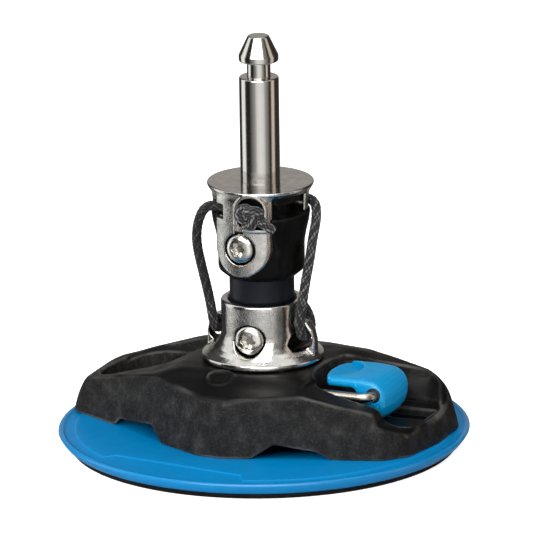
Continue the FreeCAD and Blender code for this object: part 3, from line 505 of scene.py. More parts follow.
def drawn_wire():
    """Polished stainless wire with faint draw marks."""
    material, shader = new_material("wire_steel", (0.74, 0.70, 0.64), 0.25, 1.0)
    marks = noise(material, 1.0, 3.0, 0.6, (60.0, 2500.0, 2500.0))
    rough = ramp(material, marks, [(0.3, 0.22), (0.8, 0.36)])
    tint = cloudy(material, [(0.3, (0.50, 0.46, 0.41)), (0.8, (0.63, 0.59, 0.54))], 200.0)
    return finish(material, shader, tint, rough, [(marks, 0.05)], 0.0002)


def braided_yarn():
    """Braid yarns: dark grey, with painted shade in the gaps and a painted highlight on the crowns, read from
    the mesh's own height attribute.
    """
    material, shader = new_material("braided_line", (0.05, 0.05, 0.052), 0.75, shine=0.3)
    shader.inputs["Sheen Weight"].default_value = 0.08
    # Painted shade and highlight: near black in the gaps between yarns, pale on their crowns.
    colour = ramp(material, stored(material, "crown"),
                  [(0.0, (0.002, 0.002, 0.0022)), (0.30, (0.008, 0.008, 0.0083)),
                   (0.55, (0.026, 0.0255, 0.026)), (0.8, (0.07, 0.069, 0.07)), (1.0, (0.15, 0.147, 0.15))])
    fuzz = add(material, "ShaderNodeMix", data_type="RGBA", blend_type="MULTIPLY")
    fuzz.inputs[0].default_value = 1.0
    wire(material, colour, fuzz.inputs[6])
    wire(material, cloudy(material, [(0.3, 0.75), (0.7, 1.15)], 3200.0), fuzz.inputs[7])
    return finish(material, shader, fuzz.outputs[2], None, [(noise(material, 4200.0, 2.0), 0.3)], 0.0002)


def mottled(name, base, rough, shine, dark, light, spots, grain, gloss=None):
    """Plastic or rubber with a mottled colour and a fine grain, both given as noise settings."""
    material, shader = new_material(name, base, rough, shine=shine)
    colour = cloudy(material, [dark, light], *spots)
    rough = cloudy(material, gloss, 300.0) if gloss else None
    settings, strength, depth = grain
    return finish(material, shader, colour, rough, [(noise(material, *settings), strength)], depth)


disc_blue = moulded_blue("disc_blue_plastic", (0.0, 0.172, 0.414), (0.0, 0.191, 0.451), 0.12)
lever_blue = moulded_blue("lever_blue_plastic", (0.0, 0.24, 0.50), (0.0, 0.265, 0.54), 0.14, painted_edge_highlight=True)
bridge_black = grained_black()
cup_black = moulded_cup()
tendon_urethane = mottled("tendon_urethane", (0.0024, 0.0030, 0.0046), 0.42, 0.18,
                          (0.3, (0.005, 0.006, 0.009)), (0.8, (0.010, 0.012, 0.017)), (60.0, 4.0),
                          ((900.0, 2.0), 0.05, 0.0003), [(0.3, 0.36), (0.8, 0.5)])
pad_rubber = mottled("pad_rubber", (0.010, 0.010, 0.011), 0.6, 0.15,
                     (0.35, (0.0035, 0.0035, 0.004)), (0.8, (0.009, 0.009, 0.010)), (120.0, 5.0),
                     ((1500.0, 3.0), 0.15, 0.0004))
bush_plastic = mottled("bush_plastic", (0.02, 0.02, 0.021), 0.45, 0.5,
                       (0.3, (0.015, 0.015, 0.016)), (0.8, (0.03, 0.03, 0.031)), (300.0, 3.0),
                       ((1500.0, 2.0), 0.08, 0.0003))
cast_nickel = cast_metal()
pin_steel = turned_steel("pin_steel", (0.66, 0.645, 0.62), 0.09, 0.2, 0.04)
screw_steel = turned_steel("screw_steel", (0.80, 0.78, 0.74), 0.17, 0.3, 0.04)
inner_steel = turned_steel("inner_steel", (0.55, 0.55, 0.54), 0.25, 0.4, 0.08)
wire_steel = drawn_wire()
line_yarn = braided_yarn()


def dress(thing, material, record_slot, body, *nodes):
    """Gives a made piece its material, body and the CAD nodes it stands for; its record_slot argument is not
    used.
    """
    thing.data.materials.clear()
    thing.data.materials.append(material)
    if body:
        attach(thing, body)
    if nodes:
        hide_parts(*nodes)


def redress(material, *nodes):
    """Gives CAD nodes a better material."""
    for node in nodes:
        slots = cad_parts[node].data.materials
        if len(slots):
            for k in range(len(slots)):
                slots[k] = material
        else:
            slots.append(material)


redress(screw_steel, "bridge_screws", "wear_plate", "collar_screws")
redress(wire_steel, "bail")
redress(bush_plastic, "lever_bush")
redress(inner_steel, "lift_bar", "lift_stud", "lift_nut", "lift_plate",
        "upper_sleeve", "lower_sleeve", "pin_washer", "pin_nut")

# Levels and turns that pieces share, in millimetres and degrees
PIVOT = 60.4
LOWER_SCREWS = 46.9
UPPER_SCREWS = 85.8
COLLAR_TURN = 3.5
YOKE_TURN = -3.0
WINDOW_TURN = 14
SCREW_BORE = 3.05
SCREW_SEAT = 6.55
LUG_HOLE = (18.6, 45.6)

# Mast pin
pin_profile = rounded(
    [(0, 99.5, 0), (5.0, 99.5, 0.4), (5.0, 109.3, 0), (8.0, 109.3, 0.15), (8.0, 152.3, 0.8),
     (4.75, 152.3, 0.25), (4.75, 158.7, 0.3), (8.0, 158.7, 0.9), (8.0, 161.2, 0.5), (4.2, 169.2, 0.9),
     (0, 169.2, 0)], 0.3, 6)
mast_pin = lathe("mast_pin_turned", pin_profile, 160)
dress(mast_pin, pin_steel, "pin_steel", "mast", "mast_pin")

# Tendon, one half each side of the pivot level
lower_wall = [(13.0, 40 + (PIVOT - 40) * k / 10) for k in range(11)]
upper_wall = [(13.0, PIVOT + (95.6 - PIVOT) * k / 18) for k in range(19)]
lower_rows = [(0, 38.9), (12.6, 38.9), (13.0, 39.3)] + lower_wall + [(0, PIVOT)]
upper_rows = [(0, PIVOT)] + upper_wall + [(12.6, 96.0), (0, 96.0)]
tendon_low = lathe("tendon_lower_half", lower_rows, 96)
tendon_high = lathe("tendon_upper_half", upper_rows, 96)
for thing in (tendon_low, tendon_high):
    dress(thing, tendon_urethane, "tendon_black", None, "tendon")
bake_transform(tendon_low)
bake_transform(tendon_high)


# Disc and pad
DISC_RIM = [
    (26.0, 4.9), (50, 3.7), (72.0, 2.4), (77.9, 2.4), (79.3, 2.5), (80.4, 3.4), (81.6, 4.9), (82.3, 6.0),
    (82.5, 6.3), (82.46, 6.62), (82.26, 6.96), (81.9, 7.2), (81.4, 7.32), (80.9, 7.28), (80.4, 7.08),
    (80.0, 6.86), (79.6, 6.74), (78.6, 6.7),
]
DISC_STEP = [(0.9, 6.70), (0.6, 6.74), (0.3, 6.9), (0.1, 7.08),
             (-0.15, 7.17), (-0.5, 7.2), (-1.1, 7.2), (-2.0, 7.2)]
DISC_LEVEL = 7.2
DISC_TOP = [(50.0, DISC_LEVEL), (26.0, DISC_LEVEL)]


def disc_mesh():
    """The disc, whose step follows the rim except along the front chord, where the plateau is drawn in."""
    segments = 540
    points, faces = [], []
    for k in range(segments):
        angle = 2 * math.pi * k / segments
        degrees = math.degrees(angle)
        if degrees > 180:
            degrees -= 360
        edge = 75.6
        if -124.5 < degrees < -74.0:
            edge = 63.1 / math.cos(math.radians(degrees + 98.2))
        rows = DISC_RIM + [(edge + dr, z) for dr, z in DISC_STEP] + DISC_TOP
        points += [(radius * math.cos(angle), radius * math.sin(angle), z) for radius, z in rows]
        n = (k + 1) % segments
        count = len(rows)
        for j in range(count):
            m = (j + 1) % count
            faces.append((k * count + j, n * count + j, n * count + m, k * count + m))
    return mesh_object("base_disc_moulding", points, faces)


base_disc = disc_mesh()
x, y, z = vertex_places(base_disc)
mark(base_disc, "rim", smooth_step(np.hypot(x, y), 80.2, 80.9) * smooth_step(z, 5.4, 6.2))
dress(base_disc, disc_blue, "disc_blue", "base", "base_disc")

pad_profile = rounded(
    [(0, 1.9, 0), (22, 1.9, 2), (66, 0, 2), (77.3, 0.0, 0), (77.9, 0.7, 0), (77.9, 1.7, 0.4),
     (77.5, 2.4, 0), (72.0, 2.4, 0), (24, 4.1, 2), (0, 4.1, 0)], 0.5, 4)
suction_pad = lathe("suction_pad_moulding", pad_profile, 240)
dress(suction_pad, pad_rubber, "pad_rubber", "base", "suction_pad")
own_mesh(suction_pad)


# Bridge
def loop(corners, radius):
    """A closed outline with rounded corners."""
    start = tuple((np.array(corners[-1][:2], float) + np.array(corners[0][:2], float)) / 2)
    return rounded([start] + corners + [start], radius, 5)[:-1]


PLAN = loop([
    (-80.8, -2), (-79.8, -8.2), (-72, -12.6), (-55.9, -21), (-28.1, -38.6), (-8.7, -48.6), (2.6, -49.2),
    (13.2, -45.6), (44, -36.2), (64, -30.2), (71.6, -21.2), (76, 1.7), (74.5, 24.5), (70, 31), (52, 34),
    (28.1, 40.5), (8.7, 48.4), (-2.6, 48.9), (-13.2, 45.6), (-44, 36.2), (-62, 31), (-72, 24.5), (-78.4, 12),
], 6.0)
HUB_SIDE = [(33, -20.8), (28.8, -14), (27.2, -7), (26.8, 0), (27.4, 8), (29.5, 15)]
LEVER_BAY = loop(HUB_SIDE + [
    (33, 19), (37, 20.8), (63, 20.8), (67.5, 19.2), (70.5, 14), (71.5, 4), (71, -5), (69, -13),
    (65, -19.5), (62, -20.8),
], 3.0)
LEVER_BAY_TOP = loop(HUB_SIDE + [
    (33, 19.5), (37, 22.5), (50, 24.5), (61, 27.6), (66.5, 26.2), (70.5, 21), (73, 8), (72.5, -3),
    (70, -12), (66, -19.3), (62, -20.8),
], 3.0)
LEFT_BAY = loop([
    (-29.5, 21), (-31, 7.3), (-34.8, -2.9), (-38.8, -9), (-43.3, -10.5), (-60, -10.5), (-65.4, -8.8),
    (-68.8, -3.9), (-69.3, 4.9), (-67.3, 14.7), (-60.8, 20.5), (-53.2, 23.5), (-34.2, 25.4),
], 4.0)
SHELF = loop([(-33, 10), (-33, 27.5), (-56, 26.5), (-66, 19), (-67.5, 10)], 3.0)
LONG_PROFILE = [(-82, 5), (-80.8, 8.5), (-77.2, 17.8), (-74.2, 22.8), (-65, 24.6), (-54, 27.8), (-36, 32.8),
                (-27, 36.1), (-24, 36.5), (24, 36.5), (27, 36.1), (36, 32.4), (52, 30.2), (62, 28.2),
                (66.5, 25.5), (70, 21), (72, 17), (77, 7.8), (79, 4)]
CROSS_PROFILE = [(-52, 22.5), (-45, 30.7), (-32, 33.2), (-25, 36.5),
                 (25, 36.5), (32, 33.2), (45, 30.7), (52, 22.5)]
FRONT_FALL = [(28, 34.5), (36, 31.4), (45, 28.9), (56, 26.8), (61, 25.0),
              (65, 21.6), (69, 17.6), (72, 16.8), (80, 16.4)]
END_FALL = [(-60, 17), (10, 17), (18, 18.4), (24, 21.2), (29, 25.4), (34, 31)]
ARCHES = [
    [(-56.2, 2), (-56.2, 7.2), (-53.5, 10.2), (-35, 12.8), (-28.6, 7.2), (-28.6, 2)],
    [(13.2, 2), (13.2, 7.2), (21.6, 12.8), (38, 10.2), (43.7, 7.2), (43.7, 2)],
]
BAY_FLOOR = 17.0
WALL_DRAFT = math.radians(8)
RING_PLACE = (-6.3, -29.2)
RING_RADIUS = 5.2
THROUGH_BOXES = [
    ((50, -1.5, 5), (69.5, 12.5, 20)), ((-69.5, -6, 5), (-55, 8, 20)), ((-24.5, -21, 5), (24.5, 21, 32.5)),
    ((37.5, -16, 5), (66, 16, 13.5)), ((-66, -11, 5), (-37.5, 16, 13.5)),
]


def height_profile(value, knots, spread=2.4):
    """Height over a coordinate, with its corners eased."""
    xs, ys = [k[0] for k in knots], [k[1] for k in knots]
    shares = [np.interp(value + spread * t, xs, ys) for t in (-1, -0.5, 0, 0.5, 1)]
    return sum(shares) / 5


def bridge_field(x, y, z):
    """The moulded bridge."""
    plan = polygon_field(x, y, PLAN)
    walls = (plan + (z - DISC_LEVEL) * math.tan(WALL_DRAFT)) * math.cos(WALL_DRAFT)
    along = (z - height_profile(x, LONG_PROFILE)) * 0.96
    top = meet(along, (z - height_profile(y, CROSS_PROFILE)) * 0.95, 2.5)
    ring = distance(x - RING_PLACE[0], y - RING_PLACE[1])
    top = top - 0.7 * np.exp(-((ring - RING_RADIUS) / 0.6) ** 2) + 0.5 * smooth_step(-ring, -4.7, -4.0)
    crease = 1.3 + 3.5 * smooth_step(x, 58, 70) + 2.0 * smooth_step(-x, 70, 76)
    shape = np.maximum(meet(walls, top, crease), DISC_LEVEL - z)
    front = meet(height_profile(x, FRONT_FALL) - z, meet(y + 19.0, 30 - x, 2.0), 1.0)
    shape = less(shape, front * 0.9, 1.2)
    end = meet(height_profile(y, END_FALL) + 0.5 * np.maximum(70 - x, 0) - z, 60.0 - x, 3.0)
    shape = less(shape, end * 0.85, 2.0)
    rise = smooth_step(z, 17.5, 27)
    opening = (1 - rise) * polygon_field(x, y, LEVER_BAY) + rise * polygon_field(x, y, LEVER_BAY_TOP)
    shape = less(shape, meet(opening - 0.05 * (z - BAY_FLOOR), BAY_FLOOR - z, 1.6), 1.0)
    left = polygon_field(x, y, LEFT_BAY) - 0.12 * (z - BAY_FLOOR)
    shape = less(shape, meet(left, BAY_FLOOR - z, 1.6), 1.0)
    shelf = polygon_field(x, y, SHELF) - 0.12 * (z - 22)
    shape = less(shape, meet(shelf, 21.6 + 0.36 * (y - 13) - z, 1.0), 0.8)
    for low, high in THROUGH_BOXES:
        shape = less(shape, box_field(x, y, z, low, high, 1.0), 0.5)
    for arch in ARCHES:
        for turn in (1, -1):
            profile = polygon_field(x * turn, z, arch)
            shape = less(shape, np.maximum(profile, 15 + y * turn), 0.6)
    for side in (-18, 18):
        shape = less(shape, box_field(x, y, z, (22.5, side - 2.7, 21.5), (36.5, side + 2.7, 31.2), 1.2), 0.5)
    return shape


bridge = net("bridge_moulding", bridge_field, (-82.2, -51, 5.5), (78, 51, 38), 0.62)
# The crest mark carries the pale edge colour: partly wear, partly a painted highlight.
mark(bridge, "crest", smooth_step(bulge(bridge, bridge_field, 1.1), 0.32, 0.88))
dress(bridge, bridge_black, "bridge_black", "base", "bridge")


# Lever
LEVER_SIDE = loop([
    (30, 30.6), (44.5, 30.6), (46.6, 26.5), (48.4, 18.0), (50, 17.3), (54.6, 17.3), (57.2, 19.6),
    (58.5, 23.4), (58.7, 27.0), (58.4, 29.0), (57.7, 30.8), (56.5, 32.35), (54.9, 33.55), (53.0, 34.3),
    (50.5, 34.5), (30, 34.3),
], 2.6)


LEVER_HALF = 13.5
CROSSBAR = (53, 28.5)


def lever_field(x, y, z):
    """The cam lever, about its crossbar."""
    round_end = 0.007 * y ** 2 * smooth_step(x, 44, 58)
    shape = meet(polygon_field(x, z, LEVER_SIDE) + round_end, np.abs(y) - LEVER_HALF, 2.2)
    shape = meet(shape, distance(x - 57.8, y) - 27.8, 1.4)
    scoop_edge = distance(x - 31.0, y - 1.5) - 11.3
    scoop_floor = 34.3 - 2.1 * smooth_step(x, 28, 38) - z
    shape = less(shape, meet(scoop_edge, scoop_floor, 0.4), 0.3)
    return less(shape, distance(x - CROSSBAR[0], z - CROSSBAR[1]) - 3.0, 0.3)


cam_lever = net("cam_lever_moulding", lever_field, (28.5, -15, 16), (60.5, 15, 36), 0.3)
mark(cam_lever, "rim", smooth_step(bulge(cam_lever, lever_field, 0.6), 0.12, 0.35))
dress(cam_lever, lever_blue, "lever_blue", "lever", "cam_lever")


# Collar
COLLAR_PROFILE = [(5, 36.5), (24.4, 36.5), (24.4, 38.0), (24.2, 38.4), (23.7, 38.7), (22.0, 40.0),
                  (20.0, 41.9), (18.2, 44.2), (17.1, 46.0), (16.6, 47.6), (16.6, 60.1), (16.3, 60.6),
                  (15.8, 60.9), (14.2, 60.9), (13.3, 59.8), (13.3, 38.7), (5, 38.7)]
LUG_OUTLINE = [(14, 39), (23.2, 39), (23.3, 45.2), (22.3, 49.4), (19.8, 52.6), (14, 54)]


def collar_field(x, y, z):
    """The cast collar with its seats and lugs."""
    r = distance(x, y)
    tx, ty = turned_frame(x, y, COLLAR_TURN)
    shape = polygon_field(r, z, COLLAR_PROFILE)
    for side in (-1, 1):
        lug = polygon_field(x * side, z, LUG_OUTLINE)
        shape = join(shape, meet(lug, np.abs(y) - 2.6, 1.2), 1.2)
    shape = np.maximum(shape, 13.3 - r)
    for side in (-1, 1):
        hole = distance(x - LUG_HOLE[0] * side, z - LUG_HOLE[1]) - 3.6
        shape = less(shape, np.maximum(hole, np.abs(y) - 9.5), 0.9)
    from_screw = distance(tx, z - LOWER_SCREWS)
    shape = less(shape, np.maximum(from_screw - SCREW_SEAT, 15.0 - np.abs(ty)), 0.5)
    return less(shape, from_screw - SCREW_BORE, 0.2)


collar = net("collar_casting", collar_field, (-26, -26, 35.5), (26, 26, 62), 0.35)
x, y, z = vertex_places(collar)
tx, ty = turned_frame(x, y, COLLAR_TURN)
in_seat = (distance(tx, z - LOWER_SCREWS) < SCREW_SEAT + 0.2) & (np.abs(ty) < 15.7)
in_hole = (distance(np.abs(x) - LUG_HOLE[0], z - LUG_HOLE[1]) < 3.9) & (np.abs(y) < 9.8)
# Painted shade in the screw seats and lug holes, through the recess mark.
mark(collar, "recess", in_seat | in_hole)
satin = smooth_step(np.abs(ty), 11.5, 14) * smooth_step(z, 45.5, 47.5) * (1 - smooth_step(z, 59, 60))
mark(collar, "polish", 0.92 - 0.5 * smooth_step(np.abs(x), 14, 19) * (z > 40.5) - 0.75 * satin)
dress(collar, cast_nickel, "cast_nickel", "base", "collar")


# Cup
CUP_PROFILE = [(13.3, 70.6), (14.0, 70.8), (16.9, 73.2), (17.3, 74.6), (17.4, 84.5), (18.1, 88.5),
               (19.3, 93.5), (19.8, 97.0), (19.5, 97.6), (18.7, 97.9), (12.6, 97.9), (12.6, 103.1),
               (17.4, 103.1), (17.4, 106.3), (9.4, 106.3), (9.4, 99), (0, 99), (0, 96.2), (13.3, 96.2)]


def cup_field(x, y, z):
    """The moulded cup."""
    r = distance(x, y)
    tx, ty = turned_frame(x, y, YOKE_TURN)
    ear_pocket = np.maximum(np.maximum(np.abs(tx) - 12.0, 16.8 - r), 69.0 - z)
    shape = less(polygon_field(r, z, CUP_PROFILE), ear_pocket, 0.5)
    return less(shape, distance(tx, z - UPPER_SCREWS) - SCREW_BORE, 0.2)


cup = net("tendon_cup_moulding", cup_field, (-21, -21, 69.5), (21, 21, 107.5), 0.4)
dress(cup, cup_black, "cup_black", "mast", "tendon_cup")


# Yoke
FLANGE_PROFILE = [(5, 106.3), (19.6, 106.3), (21.4, 108.3), (21.4, 109.0), (21.1, 109.3), (5, 109.3)]
SKIRT_PROFILE = [(17.9, 98.2), (18.9, 98.2), (19.3, 102.9), (19.6, 105.5), (20.5, 107.3), (17.9, 107.3)]
EAR_HALF = 11.8
WINDOW_HALF = 5.3
WINDOW_ARCH = 107.4 - WINDOW_HALF


def yoke_field(x, y, z):
    """The cast yoke: flange, skirts and two ears with their windows."""
    r = distance(x, y)
    tx, ty = turned_frame(x, y, YOKE_TURN)
    from_screw = distance(tx, z - UPPER_SCREWS)
    flange = polygon_field(r, z, FLANGE_PROFILE)
    ring = np.maximum(17.0 - r, r - 20.8)
    ear_shape = join(np.maximum(np.abs(tx) - EAR_HALF, UPPER_SCREWS - z), from_screw - EAR_HALF)
    ear = meet(meet(ring, ear_shape, 1.2), z - 107.5, 0)
    angle = np.degrees(np.arctan2(ty, tx))
    gap = 1e9
    for half in (-114, 66):
        turn = np.abs((angle - half + 180) % 360 - 180) - 63
        gap = np.minimum(gap, np.radians(turn) * r)
    skirt = meet(polygon_field(r, z, SKIRT_PROFILE), gap, 0.8)
    shape = join(join(flange, ear, 1.0), skirt, 1.0)
    for half in (0, 180):
        wx, wy = turned_frame(tx, ty, WINDOW_TURN + half)
        straight = np.maximum(np.abs(wx) - WINDOW_HALF, np.maximum(94.7 - z, z - WINDOW_ARCH))
        window = join(straight, distance(wx, z - WINDOW_ARCH) - WINDOW_HALF)
        lip = np.maximum(np.maximum(np.abs(window - 0.5) - 0.9, wy + 12), np.maximum(r - 21.6, 19.5 - r))
        shape = join(shape, lip, 0.7)
        shape = less(shape, np.maximum(window, wy + 12), 0.5)
        ex, ey = turned_frame(tx, ty, -40 + half)
        line_way = np.maximum(np.abs(ex) - 6.5, np.maximum(97.4 - z, z - 103.1))
        shape = less(shape, np.maximum(line_way, ey + 12), 0.7)
    shape = less(shape, np.maximum(from_screw - SCREW_SEAT, 18.2 - np.abs(ty)), 0.5)
    slot = np.maximum(np.maximum(np.abs(tx) - 1.9, 18.2 - np.abs(ty)), np.maximum(UPPER_SCREWS - z, z - 95.7))
    shape = less(shape, slot, 0.5)
    return less(shape, from_screw - SCREW_BORE, 0.2)


yoke = net("yoke_casting", yoke_field, (-23, -23, 72.5), (23, 23, 110.5), 0.35)
x, y, z = vertex_places(yoke)
tx, ty = turned_frame(x, y, YOKE_TURN)
# Painted shade in the screw seats, through the recess mark.
mark(yoke, "recess", (distance(tx, z - UPPER_SCREWS) < SCREW_SEAT + 0.2) & (np.abs(ty) < 19.7))
mark(yoke, "polish", 0.25 + 0.4 * smooth_step(z, 103.5, 106))
dress(yoke, cast_nickel, "cast_nickel", "mast", "yoke")


# Screws with six-lobed recesses
SCREW_PROFILE = [(0, -14), (3, -14), (3, 0), (5.7, 0), (6, 0.3), (6, 1.0), (5.75, 1.7), (5.1, 2.35),
                 (4.1, 2.85), (2.8, 3.2), (1.4, 3.35), (0, 3.4)]


def screw_field(x, y, z):
    """A pan head with a six-lobed recess, its seat at zero."""
    r = distance(x, y)
    head = polygon_field(r, z, SCREW_PROFILE)
    angle = np.arctan2(y, x)
    lobes = r - (2.7 + 0.45 * np.cos(6 * angle)) - 0.25 * (z - 3.3)
    return less(head, np.maximum(lobes, 0.9 - z), 0.15)


def screw_pair(name, seat, level, turn, body, node):
    """The front and rear screw of one level."""
    thing = net(name, screw_field, (-6.6, -6.6, -14.6), (6.6, 6.6, 3.9), 0.2)
    both = bmesh.new()
    for side in (-1, 1):
        one = thing.data.copy()
        one.transform(Matrix.Rotation(math.radians(turn), 4, "Z")
                      @ Matrix.Translation((0, side * seat * MM, level * MM))
                      @ Matrix.Rotation(math.radians(-90 * side), 4, "X"))
        both.from_mesh(one)
        bpy.data.meshes.remove(one)
    both.to_mesh(thing.data)
    both.free()
    x, y, z = vertex_places(thing)
    tx, ty = turned_frame(x, y, turn)
    depth = np.abs(ty) - seat
    # Painted shade inside each six-lobed socket, through the recess mark.
    mark(thing, "recess", (distance(tx, z - level) < 3.1) & (depth < 2.95) & (depth > 0.5))
    dress(thing, screw_steel, "screw_steel", body, node)


screw_pair("upper_screws_turned", 18.2, UPPER_SCREWS, YOKE_TURN, "mast", "upper_cross_screws")
screw_pair("lower_screws_turned", 15.0, LOWER_SCREWS, COLLAR_TURN, "base", "lower_cross_screws")


# Safety line
GROOVE = 100.5
LINE_RADIUS = 2.0


def polar(radius, angle, z):
    """A point about the mast axis."""
    return (radius * math.cos(math.radians(angle)), radius * math.sin(math.radians(angle)), z)


LEFT_MEETING = (-20.9, -5.2, PIVOT)
RIGHT_MEETING = (19.2, -4.4, PIVOT)
LEFT_STRAND = [polar(14.9, -92, GROOVE), polar(15.35, -117, GROOVE), polar(16.5, -137, GROOVE),
               polar(22.2, -149.5, 100.0), (-23.4, -9.6, 92.6), (-24.9, -8.0, 83.5), (-23.4, -6.6, 73.5),
               (-21.6, -5.6, 64.6), LEFT_MEETING]
RIGHT_STRAND = [polar(14.9, 88, GROOVE), polar(15.35, 63, GROOVE), polar(16.5, 45, GROOVE),
                polar(22.0, 29, 100.0), (22.2, 4.8, 94.6), (22.2, 0.4, 87.6), (21.6, -1.9, 78.2),
                (20.1, -3.3, 69.2), RIGHT_MEETING]
LOWER_LINE = [LEFT_MEETING, (-20.2, -4.8, 56.2), (-19.0, -5.6, 50.4), (-18.6, -3.2, 46.6), (-18.6, 3.4, 46.4),
              (-18.1, 7.4, 48.0), (-16.0, 11.2, 50.8), (-12.4, 15.4, 54.0), (-7.2, 18.5, 56.2),
              (-0.8, 19.7, 56.7), (5.8, 18.9, 56.0), (11.8, 15.8, 53.8), (15.9, 11.4, 50.8),
              (18.1, 7.4, 48.0), (18.6, 3.4, 46.4), (18.6, -3.2, 46.6), (18.6, -5.8, 50.6),
              (18.75, -4.95, 56.0), RIGHT_MEETING]


def smooth_route(name, points):
    """Points along the NURBS curve of a route, with its own length kept between them."""
    curve = bpy.data.curves.new(name, "CURVE")
    curve.dimensions = "3D"
    curve.resolution_u = 24
    spline = curve.splines.new("NURBS")
    spline.points.add(len(points) - 1)
    for target, point in zip(spline.points, points):
        target.co = (point[0] * MM, point[1] * MM, point[2] * MM, 1)
    spline.order_u = 3
    spline.use_endpoint_u = True
    holder = bpy.data.objects.new(name, curve)
    bpy.context.collection.objects.link(holder)
    mesh = bpy.data.meshes.new_from_object(holder)
    path = np.array([v.co for v in mesh.vertices]) / MM
    bpy.data.objects.remove(holder)
    bpy.data.meshes.remove(mesh)
    return path


def even_steps(path, step):
    """The same path at even steps, and how far along it each of them is."""
    gaps = np.linalg.norm(np.diff(path, axis=0), axis=1)
    run = np.concatenate([[0], np.cumsum(gaps)])
    count = max(2, int(round(run[-1] / step)) + 1)
    runs = np.linspace(0, run[-1], count)
    return np.stack([np.interp(runs, run, path[:, k]) for k in range(3)], 1), runs


def braid(name, path, radius, pale=1.0, around=48, step=0.16, yarns=8, pitch=21.0):
    """A braided line along a path: two sets of yarns that pass over and under each other."""
    path, runs = even_steps(path, step)
    tangents = np.gradient(path, axis=0)
    tangents /= np.linalg.norm(tangents, axis=1)[:, None]
    side = np.cross(tangents[0], (0.3, 0.2, 1.0))
    side /= np.linalg.norm(side)
    points, crowns = [], []
    angles = np.arange(around) * 2 * math.pi / around
    for centre, tangent, run in zip(path, tangents, runs):
        side = side - tangent * float(side @ tangent)
        side /= np.linalg.norm(side)
        other = np.cross(tangent, side)
        along = 2 * math.pi * run / pitch
        first = (angles + along) * yarns / 2
        second = (angles - along) * yarns / 2
        swap = 0.5 + 0.5 * np.clip(3.5 * np.sin(first) * np.sin(second), -1, 1)
        height = swap * np.sqrt(np.abs(np.sin(first))) + (1 - swap) * np.sqrt(np.abs(np.sin(second)))
        yarn = np.floor(np.where(swap > 0.5, first, second) / math.pi)
        tone = 0.72 + 0.28 * np.sin(yarn * 2.4)
        reach = radius * (0.80 + 0.20 * height)
        ring = np.outer(np.cos(angles) * reach, side) + np.outer(np.sin(angles) * reach, other)
        points.append(centre + ring)
        crowns.append(height ** 2.2 * tone * pale)
    rows = len(points)
    points = np.concatenate(points)
    crowns = np.concatenate(crowns)
    faces = []
    for j in range(rows - 1):
        for k in range(around):
            n = (k + 1) % around
            faces.append((j * around + k, j * around + n, (j + 1) * around + n, (j + 1) * around + k))
    low_cap, high_cap = len(points), len(points) + 1
    points = np.concatenate([points, path[:1], path[-1:]])
    crowns = np.concatenate([crowns, [0.2, 0.2]])
    for k in range(around):
        n = (k + 1) % around
        faces.append((low_cap, n, k))
        faces.append((high_cap, (rows - 1) * around + k, (rows - 1) * around + n))
    thing = mesh_object(name, points, faces)
    mark(thing, "crown", crowns)
    thing.data.materials.append(line_yarn)
    return thing


# The pale factor scales the crowns: the left strand darker as painted shade, the right strand paler as
# painted light.
for side, node, route, pale, length, bodies, levels in (
    ("left", "line_left", LEFT_STRAND, 0.8, 0.0602, ("flex", "mast"), (PIVOT, 84.0)),
    ("right", "line_right", RIGHT_STRAND, 1.3, 0.0630, ("flex", "mast"), (PIVOT, 84.0)),
    ("lower", "line_lower", LOWER_LINE, 1.0, 0.1001, ("base", "flex"), (50.0, PIVOT)),
):
    path = smooth_route(side + "_route", route)
    strand = braid("line_%s_braid" % side, path, LINE_RADIUS, pale)
    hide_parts(node)
    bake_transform(strand)


# Stopper knots
def knot_curve(turns=72):
    """An overhand knot pulled tight, in its own units."""
    t = 2 * math.pi * (0.03 + 0.94 * np.arange(turns) / (turns - 1))
    return np.stack([np.sin(t) + 2 * np.sin(2 * t), np.cos(t) - 2 * np.cos(2 * t), -np.sin(3 * t)], 1)


KNOT_ANGLE = WINDOW_TURN + YOKE_TURN - 90
KNOT_WIDTH, KNOT_HEIGHT, KNOT_DEPTH, KNOT_OUT = 1.42, 1.26, 1.6, 0.8
for label, half in (("front", 0), ("rear", 180)):
    centre = np.array(polar(22.2, KNOT_ANGLE, 100.6))
    outward = np.array(polar(1.0, KNOT_ANGLE, 0))
    level = np.array([-outward[1], outward[0], 0])
    curve = knot_curve()
    path = centre + curve[:, :1] * level * KNOT_WIDTH + curve[:, 1:2] * np.array([0, 0, 1]) * KNOT_HEIGHT
    path = path + (curve[:, 2:3] * KNOT_DEPTH + KNOT_OUT) * outward
    tail = np.array([centre + level * 1.0 - np.array([0, 0, 1.5]) + outward * 0.6,
                     (9.6, -20.6, 97.6), (12.4, -20.2, 95.8), (13.4, -19.4, 94.6)])
    leg = np.array([centre - outward * 0.5, np.array(polar(16.0, KNOT_ANGLE, 100.6))])
    for part, route, radius in (("coil", path, 2.15), ("tail", tail, 2.0), ("leg", leg, 1.9)):
        knot = braid("knot_%s_%s" % (label, part), route, radius, pale=1.35)
        knot.data.transform(Matrix.Rotation(math.radians(half), 4, "Z"))
        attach(knot, "mast")
        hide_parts("knot_%s" % label)


# Floor, lamps and world
FLOOR_GLOW = 0.75


